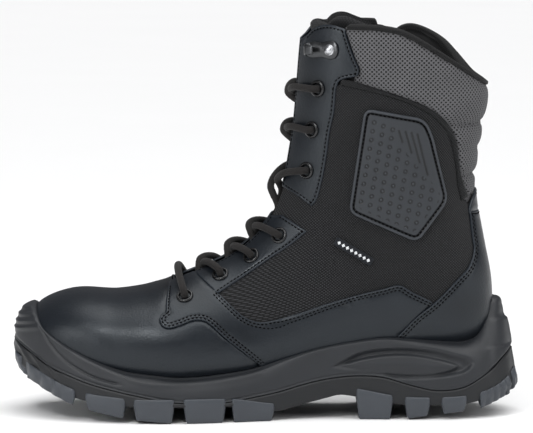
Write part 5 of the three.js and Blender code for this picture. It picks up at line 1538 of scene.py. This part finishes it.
def side_directions(path):
    """Two directions across the path that turn as little as possible along it."""
    t = unit(np.gradient(path, axis=0))
    u = np.zeros_like(path)
    u[0] = unit(np.cross(t[0], [0, 0, 1.0]))
    for k in range(1, len(path)):
        u[k] = unit(u[k - 1] - t[k] * np.dot(u[k - 1], t[k]))
    return u, np.cross(t, u)


LACE_SIDES = 28
PLAITS, PLAIT_PITCH = 6, 7.5


def add_lace():
    path = spline(lace_points(), 0.55)
    u, v = side_directions(path)
    length = lengths(path)
    turn = np.linspace(0, 2 * PI, LACE_SIDES, endpoint=False)
    grid_turn, grid_length = np.meshgrid(turn, length)
    twist = 2 * PI * grid_length / (PLAIT_PITCH * PLAITS / 2)
    left = np.abs(np.sin(PLAITS / 2 * (grid_turn + twist)))
    right = np.abs(np.sin(PLAITS / 2 * (grid_turn - twist)))
    over = np.sin(PLAITS * grid_turn) * np.sin(2 * PI * grid_length / (PLAIT_PITCH / 2)) > 0
    braid = np.where(over, left, right * 0.9) ** 0.6
    radius = LACE_RADIUS - 0.32 + 0.34 * braid
    rings = path[:, None, :] + radius[..., None] * (u[:, None, :] * np.cos(grid_turn)[..., None]
                                                    + v[:, None, :] * np.sin(grid_turn)[..., None])
    points, faces = tube(rings)
    make("lace_braided", points, orient(points, faces), MATERIAL["lace"], "boot", "lace_cord", ["lace"])


def frame_at(s, a):
    """Rows: towards the back of the boot, along the surface, outwards."""
    n = normal(np.array([s]), np.array([a]))[0]
    back = unit(np.array([1.0, 0, 0]) - n * n[0])
    return np.array([back, np.cross(n, back), n])


def lathe(profile, sides=48):
    """Points and faces of a closed profile [radius, height] turned round the local z axis."""
    turn = np.linspace(0, 2 * PI, sides, endpoint=False)
    p = np.array(profile, float)
    points = np.array([(r * math.cos(t), r * math.sin(t), z) for r, z in p for t in turn])
    return points, grid_faces(len(p), sides, close_rows=True, close_columns=True)


EYELET_FOOT = -2.2


def add_eyelets():
    bore, rim = EYELET_BORE / 2 - 0.25, EYELET_OUTSIDE / 2
    middle, half = (bore + rim) / 2, (rim - bore) / 2
    bead = [(middle - half * math.cos(t), EYELET_SEAT + 0.1 + math.sin(t)) for t in np.linspace(0, PI, 11)]
    barrel = [(rim - 0.3, EYELET_SEAT - 0.15), (bore + 0.55, EYELET_SEAT - 0.2), (bore + 0.5, EYELET_FOOT),
              (bore, EYELET_FOOT)]
    points, faces = lathe(bead + barrel)
    for side, spots in zip(SIDE.values(), SPOTS):
        for i, (s, a) in enumerate(spots):
            axes = frame_at(s, a)
            at = point(s, a)
            placed = at + points @ axes
            make(f"eyelet_{side}_{i + 1}_enamel", placed, orient(placed, faces), MATERIAL["gunmetal"], "boot",
                 "gunmetal", [f"eyelet_{side}_{i + 1}"])


HOOK = (38, 223)
# distance along the hook's plate, and its half width there
HOOK_WIDTHS = ((0, 0.4, 1.2, 2.4, 4, 6, 8.5, 11, 13.5, 17, 20, 24, 28, 29.5, 31),
               (1.2, 2.7, 4.1, 5.1, 5.5, 5.5, 4.9, 4.3, 4.6, 4.9, 4.2, 3.2, 2.9, 2.7, 2.2))
HOOK_CURL = 2.5


def add_hook(medial):
    side = SIDE[medial]
    s, a = on_side([HOOK], medial)[0]
    axes = frame_at(s, a)
    origin = point(s, a) + axes[2] * 0.45
    curl = [(-12.6 + HOOK_CURL * math.cos(t), 0.65 + HOOK_CURL * (1 + math.sin(t)))
            for t in np.linspace(-PI / 2, -1.5 * PI, 17)]
    path = spline([(5.8, 0.65)] + curl + [(-9.4, 5.75), (-8.6, 5.6)], 0.5)
    t = unit(np.gradient(path, axis=0))
    n = np.column_stack([-t[:, 1], t[:, 0]])
    half_width = np.interp(lengths(path), *HOOK_WIDTHS)
    corner = [(1, 0.15), (0.93, 0.5), (0.6, 0.6), (0, 0.62), (-0.6, 0.6), (-0.93, 0.5), (-1, 0.15),
              (-1, -0.15), (-0.93, -0.5), (0, -0.6), (0.93, -0.5), (1, -0.15)]
    points, faces = tube([[(p[0] + m[0] * h, y * w, p[1] + m[1] * h) for y, h in corner]
                          for p, m, w in zip(path, n, half_width)])
    placed = origin + points @ axes
    make(f"lace_hook_{side}_plate", placed, orient(placed, faces), MATERIAL["hook"], "boot", "gunmetal",
         [f"lace_hook_{side}"])
    dome = [(2.6 * math.sin(t), 1.35 + 1.7 * math.cos(t)) for t in np.linspace(0.02, PI / 2, 14)]
    ring = [(3.3, 1.3), (3.4, 1.1), (0.02, 1.1)]
    points, faces = lathe(dome + ring, 40)
    placed = origin + points @ axes
    make(f"hook_rivet_{side}_dome", placed, orient(placed, faces), MATERIAL["bright"], "boot", "bright_metal",
         [f"hook_rivet_{side}"])


def box_grid(lengths, steps, bulge=0.0, corner=0.3):
    """A block with rounded edges, centred, as points and faces."""
    lx, ly, lz = (v / 2 for v in lengths)
    ring = []
    for t in np.linspace(0, 2 * PI, 24, endpoint=False):
        c, s = math.cos(t), math.sin(t)
        ring.append((math.copysign(abs(c) ** 0.35, c) * ly, math.copysign(abs(s) ** 0.35, s) * lz))
    rings = []
    for x in np.linspace(-1, 1, steps):
        shrink_by = 1 - corner * max(0, abs(x) - (1 - 2 / steps)) * steps / 2
        rings.append([(x * lx, y * shrink_by * (1 + bulge * (1 - x * x)), z * shrink_by) for y, z in ring])
    points, faces = tube(rings)
    return points, orient(points, faces)


KEEPER_HALF_STATIONS, KEEPER_HALF_WIDTH = 0.24, 6.5


def add_keeper():
    middle = (SPOTS[0][3][0] + SPOTS[0][4][0]) / 2 + 0.52
    stations = np.linspace(middle - KEEPER_HALF_STATIONS, middle + KEEPER_HALF_STATIONS, 13)
    across = np.linspace(-KEEPER_HALF_WIDTH, KEEPER_HALF_WIDTH, 21)
    lift = -TONGUE_TOP + 0.9
    top, low = [], []
    for s in stations:
        edge = 1 - abs(s - middle) / KEEPER_HALF_STATIONS
        for y in across:
            rim = max(0, min(1, edge * 6, (KEEPER_HALF_WIDTH - abs(y)) / 0.8))
            crown = 0.5 * math.cos(y / KEEPER_HALF_WIDTH * PI / 2)
            top.append(front_point(s, y, lift + 0.5 + 0.8 * math.sqrt(rim) + crown))
            low.append(front_point(s, y, lift))
    points, faces = shell(top, low, grid_faces(len(stations), len(across)))
    piece = make("lace_keeper_leather", points, orient(points, faces), MATERIAL["leather"], "boot", "leather",
                 ["lace_keeper"])
    add_values(piece, "rim", np.zeros(len(points)))


LABEL = [[39.8, 106.2], [62.2, 93], [64.9, 97.6], [42.5, 110.8]]
MARKS = 8  # plain diamonds in a row, where the real label is printed
MARK_HALF_LENGTH, MARK_HALF_HEIGHT = 1.1, 1.25


def add_label():
    runs = [(on_side(rounded(LABEL, 0.6, 0.5)), "free", ())]
    panel("label_tag_woven", ["label_tag"], runs, MATERIAL["label"], "label_fabric", 0.0, thick=0.9, grid=0.9,
          edge=0.25, rings=(0.25, 0.7))
    start, end = (np.array(LABEL[0]) + LABEL[3]) / 2, (np.array(LABEL[1]) + LABEL[2]) / 2
    along = unit(end - start) * MARK_HALF_LENGTH
    across = unit(np.array([start[1] - end[1], end[0] - start[0]])) * MARK_HALF_HEIGHT
    marks = []
    for k in range(MARKS):
        centre = start + (end - start) * (k + 1) / (MARKS + 1)
        sa = on_side([centre - along, centre - across, centre + along, centre + across])
        top, low = (raised(sa[:, 0], sa[:, 1], np.full(4, height)) for height in (0.2, -0.4))
        marks.append(shell(top, low, [(0, 1, 2, 3)]))
    points, faces = merged(marks)
    make("label_marks", points, orient(points, faces), MATERIAL["print"], "boot", "label_fabric")


# ---------- zip ----------
def zip_axes():
    """Origin at the top of the chain (mm) and rows: down the chain, across it, outwards."""
    joints = {j["name"]: j for j in frame["joints"]}
    down = unit(np.array(joints["zip_slide"]["axis"], float))
    across = -unit(np.array(joints["puller_hinge"]["axis"], float))
    out = np.cross(down, across)
    pivot = np.array(joints["puller_hinge"]["pos_m"], float) / MM
    return pivot - PIVOT_AT[0] * down - PIVOT_AT[1] * out, np.array([down, across, out])


PIVOT_AT = (3.5, 3.9)  # the puller's pin: down the chain from its top, and outwards
ZIP_LENGTH = 138.8
TEETH_HALF = 2.2
TOOTH, TOOTH_PITCH, TOOTH_OFF = (1.5, 3.4, 1.9), 2.5, 0.75
TAPE = 0.9
SLIDER_LENGTH = 11


def add_zip():
    origin, axes = zip_axes()

    def put(name, points, faces, material, slot, nodes, body="boot"):
        return make(name, origin + np.asarray(points) @ axes, faces, material, body, slot, nodes)

    edge = SLOT_HALF + 1.6
    for name, low, high in (("front", TEETH_HALF + 0.15, edge), ("rear", -edge, -TEETH_HALF - 0.15)):
        x, y = np.meshgrid(np.linspace(-4, ZIP_LENGTH + 2, 120), np.linspace(low, high, 12), indexing="ij")
        z = -0.05 + 0.1 * np.sin(x / 2.4) - 0.05 * (np.abs(y) - TEETH_HALF)
        top = np.stack([x, y, z], -1).reshape(-1, 3)
        points, faces = shell(top, top - [0, 0, TAPE], grid_faces(*x.shape))
        piece = put(f"zip_tape_{name}_woven", points, orient(points, faces), MATERIAL["binding"],
                    "zip_plastic", [f"zip_tape_{name}"])
        add_values(piece, "cloth", points)
    tooth, tooth_faces = box_grid(TOOTH, 5)
    parts = []
    for k in range(int(ZIP_LENGTH / TOOTH_PITCH)):
        side = 1 if k % 2 else -1
        parts.append((tooth + [1.2 + k * TOOTH_PITCH, side * TOOTH_OFF, 0.35], tooth_faces))
    rope, rope_faces = box_grid((ZIP_LENGTH, 1.0, 1.5), 90)
    for side in (-1, 1):
        parts.append((rope + [ZIP_LENGTH / 2, side * (TEETH_HALF - 0.25), 0.1], rope_faces))
    points, faces = merged(parts)
    put("zip_teeth_moulded", points, faces, MATERIAL["zip"], "zip_plastic", ["zip_teeth"])
    stop, stop_faces = box_grid((3.2, 5.0, 1.5), 7)
    put("zip_bottom_stop_metal", stop + [ZIP_LENGTH, 0, 1.05], stop_faces, MATERIAL["hook"], "gunmetal",
        ["zip_bottom_stop"])

    plate, plate_faces = box_grid((SLIDER_LENGTH, 8.4, 1.1), 13, bulge=0.08)
    cheek, cheek_faces = box_grid((SLIDER_LENGTH - 0.4, 1.0, 2.4), 9)
    post, post_faces = box_grid((4.2, 1.0, 3.8), 7)
    pin, pin_faces = box_grid((0.9, 3.4, 0.9), 5)
    parts = [(plate + [SLIDER_LENGTH / 2, 0, 2.15], plate_faces)]
    parts += [(cheek + [SLIDER_LENGTH / 2, side * 3.35, 1.5], cheek_faces) for side in (-1, 1)]
    parts += [(post + [PIVOT_AT[0], side * 1.6, PIVOT_AT[1]], post_faces) for side in (-1, 1)]
    parts += [(pin + [PIVOT_AT[0], 0, 5.5], pin_faces)]
    points, faces = merged(parts)
    put("zip_slider_body", points, faces, MATERIAL["hook"], "gunmetal", ["zip_slider"], "slider")

    eye, eye_faces = box_grid((3.8, 1.5, 1.7), 7)
    grip, grip_faces = puller_grip()
    points, faces = merged([(eye + [PIVOT_AT[0] + 1.3, 0, PIVOT_AT[1]], eye_faces),
                            (grip + [PIVOT_AT[0], 0, PIVOT_AT[1]], grip_faces)])
    put("zip_puller_tab", points, faces, MATERIAL["hook"], "gunmetal", ["zip_puller"], "puller")


def puller_grip():
    """A long tab with a round end, a waist and a raised rim."""
    xs = np.linspace(3, 24, 43)
    half = np.interp(xs, [3, 4, 6, 12, 18, 22, 23.4, 24], [1.4, 2.4, 2.2, 2.6, 3.0, 3.0, 2.2, 0.6])
    corner = [(1, 0), (0.97, 0.55), (0.85, 0.85), (0.7, 0.85), (0.6, 0.5), (0, 0.45), (-0.6, 0.5),
              (-0.7, 0.85), (-0.85, 0.85), (-0.97, 0.55), (-1, 0), (-0.97, -0.6), (-0.7, -0.8), (0, -0.8),
              (0.7, -0.8), (0.97, -0.6)]
    points, faces = tube([[(x, y * h, z) for y, z in corner] for x, h in zip(xs, half)])
    return points, orient(points, faces)


# ---------- pieces that keep their CAD shape ----------
HIDDEN = {"shank": "steel", "insole_board": "board", "steel_toe_cap": "steel", "toe_cap_edge_strip": "strip",
          "heel_stiffener": "board"}


def dress_hidden():
    for name, material in HIDDEN.items():
        node = frame["nodes"][name]
        node.data.materials.clear()
        node.data.materials.append(MATERIAL[material])


# ---------- stage ----------
CAMERA_DISTANCE = 2.2
VIEW_WIDTH = 0.325  # metres across the picture at the boot
ELEVATION = math.radians(6)
SENSOR = 36
AIM = Vector((0, 0, 0.1192))
FLOOR_HALF = 6.0
WORLD_STRENGTH = 0.16
SUN_STRENGTH, SUN_ANGLE = 3.1, math.radians(70)


def light(name, place, size, power):
    """A softbox that faces the boot; metres and watts."""
    data = bpy.data.lights.new(name, "AREA")
    data.shape = "RECTANGLE"
    data.size, data.size_y = size
    data.energy = power
    lamp = new_object(name, data)
    lamp.location = place
    lamp.rotation_euler = (AIM - Vector(place)).to_track_quat("-Z", "Y").to_euler()


def add_stage():
    data = bpy.data.cameras.new("camera")
    data.sensor_width = SENSOR
    data.lens = SENSOR * CAMERA_DISTANCE / VIEW_WIDTH
    camera = new_object("camera", data)
    camera.location = AIM + Vector((0, -math.cos(ELEVATION), math.sin(ELEVATION))) * CAMERA_DISTANCE
    camera.rotation_euler = (AIM - camera.location).to_track_quat("-Z", "Y").to_euler()
    bpy.context.scene.camera = camera

    floor_shade = Shade("floor_paper", (0.9, 0.9, 0.9), 0.9)
    floor_shade.paint(floor_shade.shades(0.98, 1.0, 4))
    mesh = bpy.data.meshes.new("floor")
    corners = [(x * FLOOR_HALF, y * FLOOR_HALF, 0) for x, y in ((-1, -1), (1, -1), (1, 1), (-1, 1))]
    mesh.from_pydata(corners, [], [(0, 1, 2, 3)])
    mesh.materials.append(floor_shade.material)
    floor = new_object("floor", mesh)
    floor.location.z = -0.0002

    world = bpy.data.worlds.new("studio")
    world.use_nodes = True
    background = world.node_tree.nodes["Background"]
    background.inputs["Color"].default_value = (0.95, 0.96, 1.0, 1)
    background.inputs["Strength"].default_value = WORLD_STRENGTH
    bpy.context.scene.world = world
    sun = bpy.data.lights.new("sky_panel", "SUN")
    sun.energy = SUN_STRENGTH
    sun.angle = SUN_ANGLE
    new_object("sky_panel", sun).rotation_euler = Vector((0.25, -0.1, 1)).to_track_quat("Z", "Y").to_euler()
    light("softbox_front", (-1.3, -1.1, 0.5), (0.6, 0.8), 7)
    light("softbox_side", (1.4, -0.7, 0.6), (0.5, 0.9), 6)
    light("softbox_fill", (-0.1, -1.9, 1.1), (1.2, 0.5), 5)
    light("softbox_toe", (-0.35, -0.7, 0.7), (0.3, 0.22), 3.5)
    bpy.context.scene.view_settings.view_transform = "Standard"


add_stage()
add_vamp()
for on_medial in (False, True):
    add_mudguard(on_medial)
    add_lower_eyestay(on_medial)
    add_upper_eyestay(on_medial)
    add_hook(on_medial)
add_counter()
add_quarters()
add_rolls()
add_collar()
add_patch()
add_tongue()
add_lining()
add_footbed()
add_binding()
add_midsole()
add_outsole()
add_lace()
add_eyelets()
add_keeper()
add_label()
add_zip()
dress_hidden()
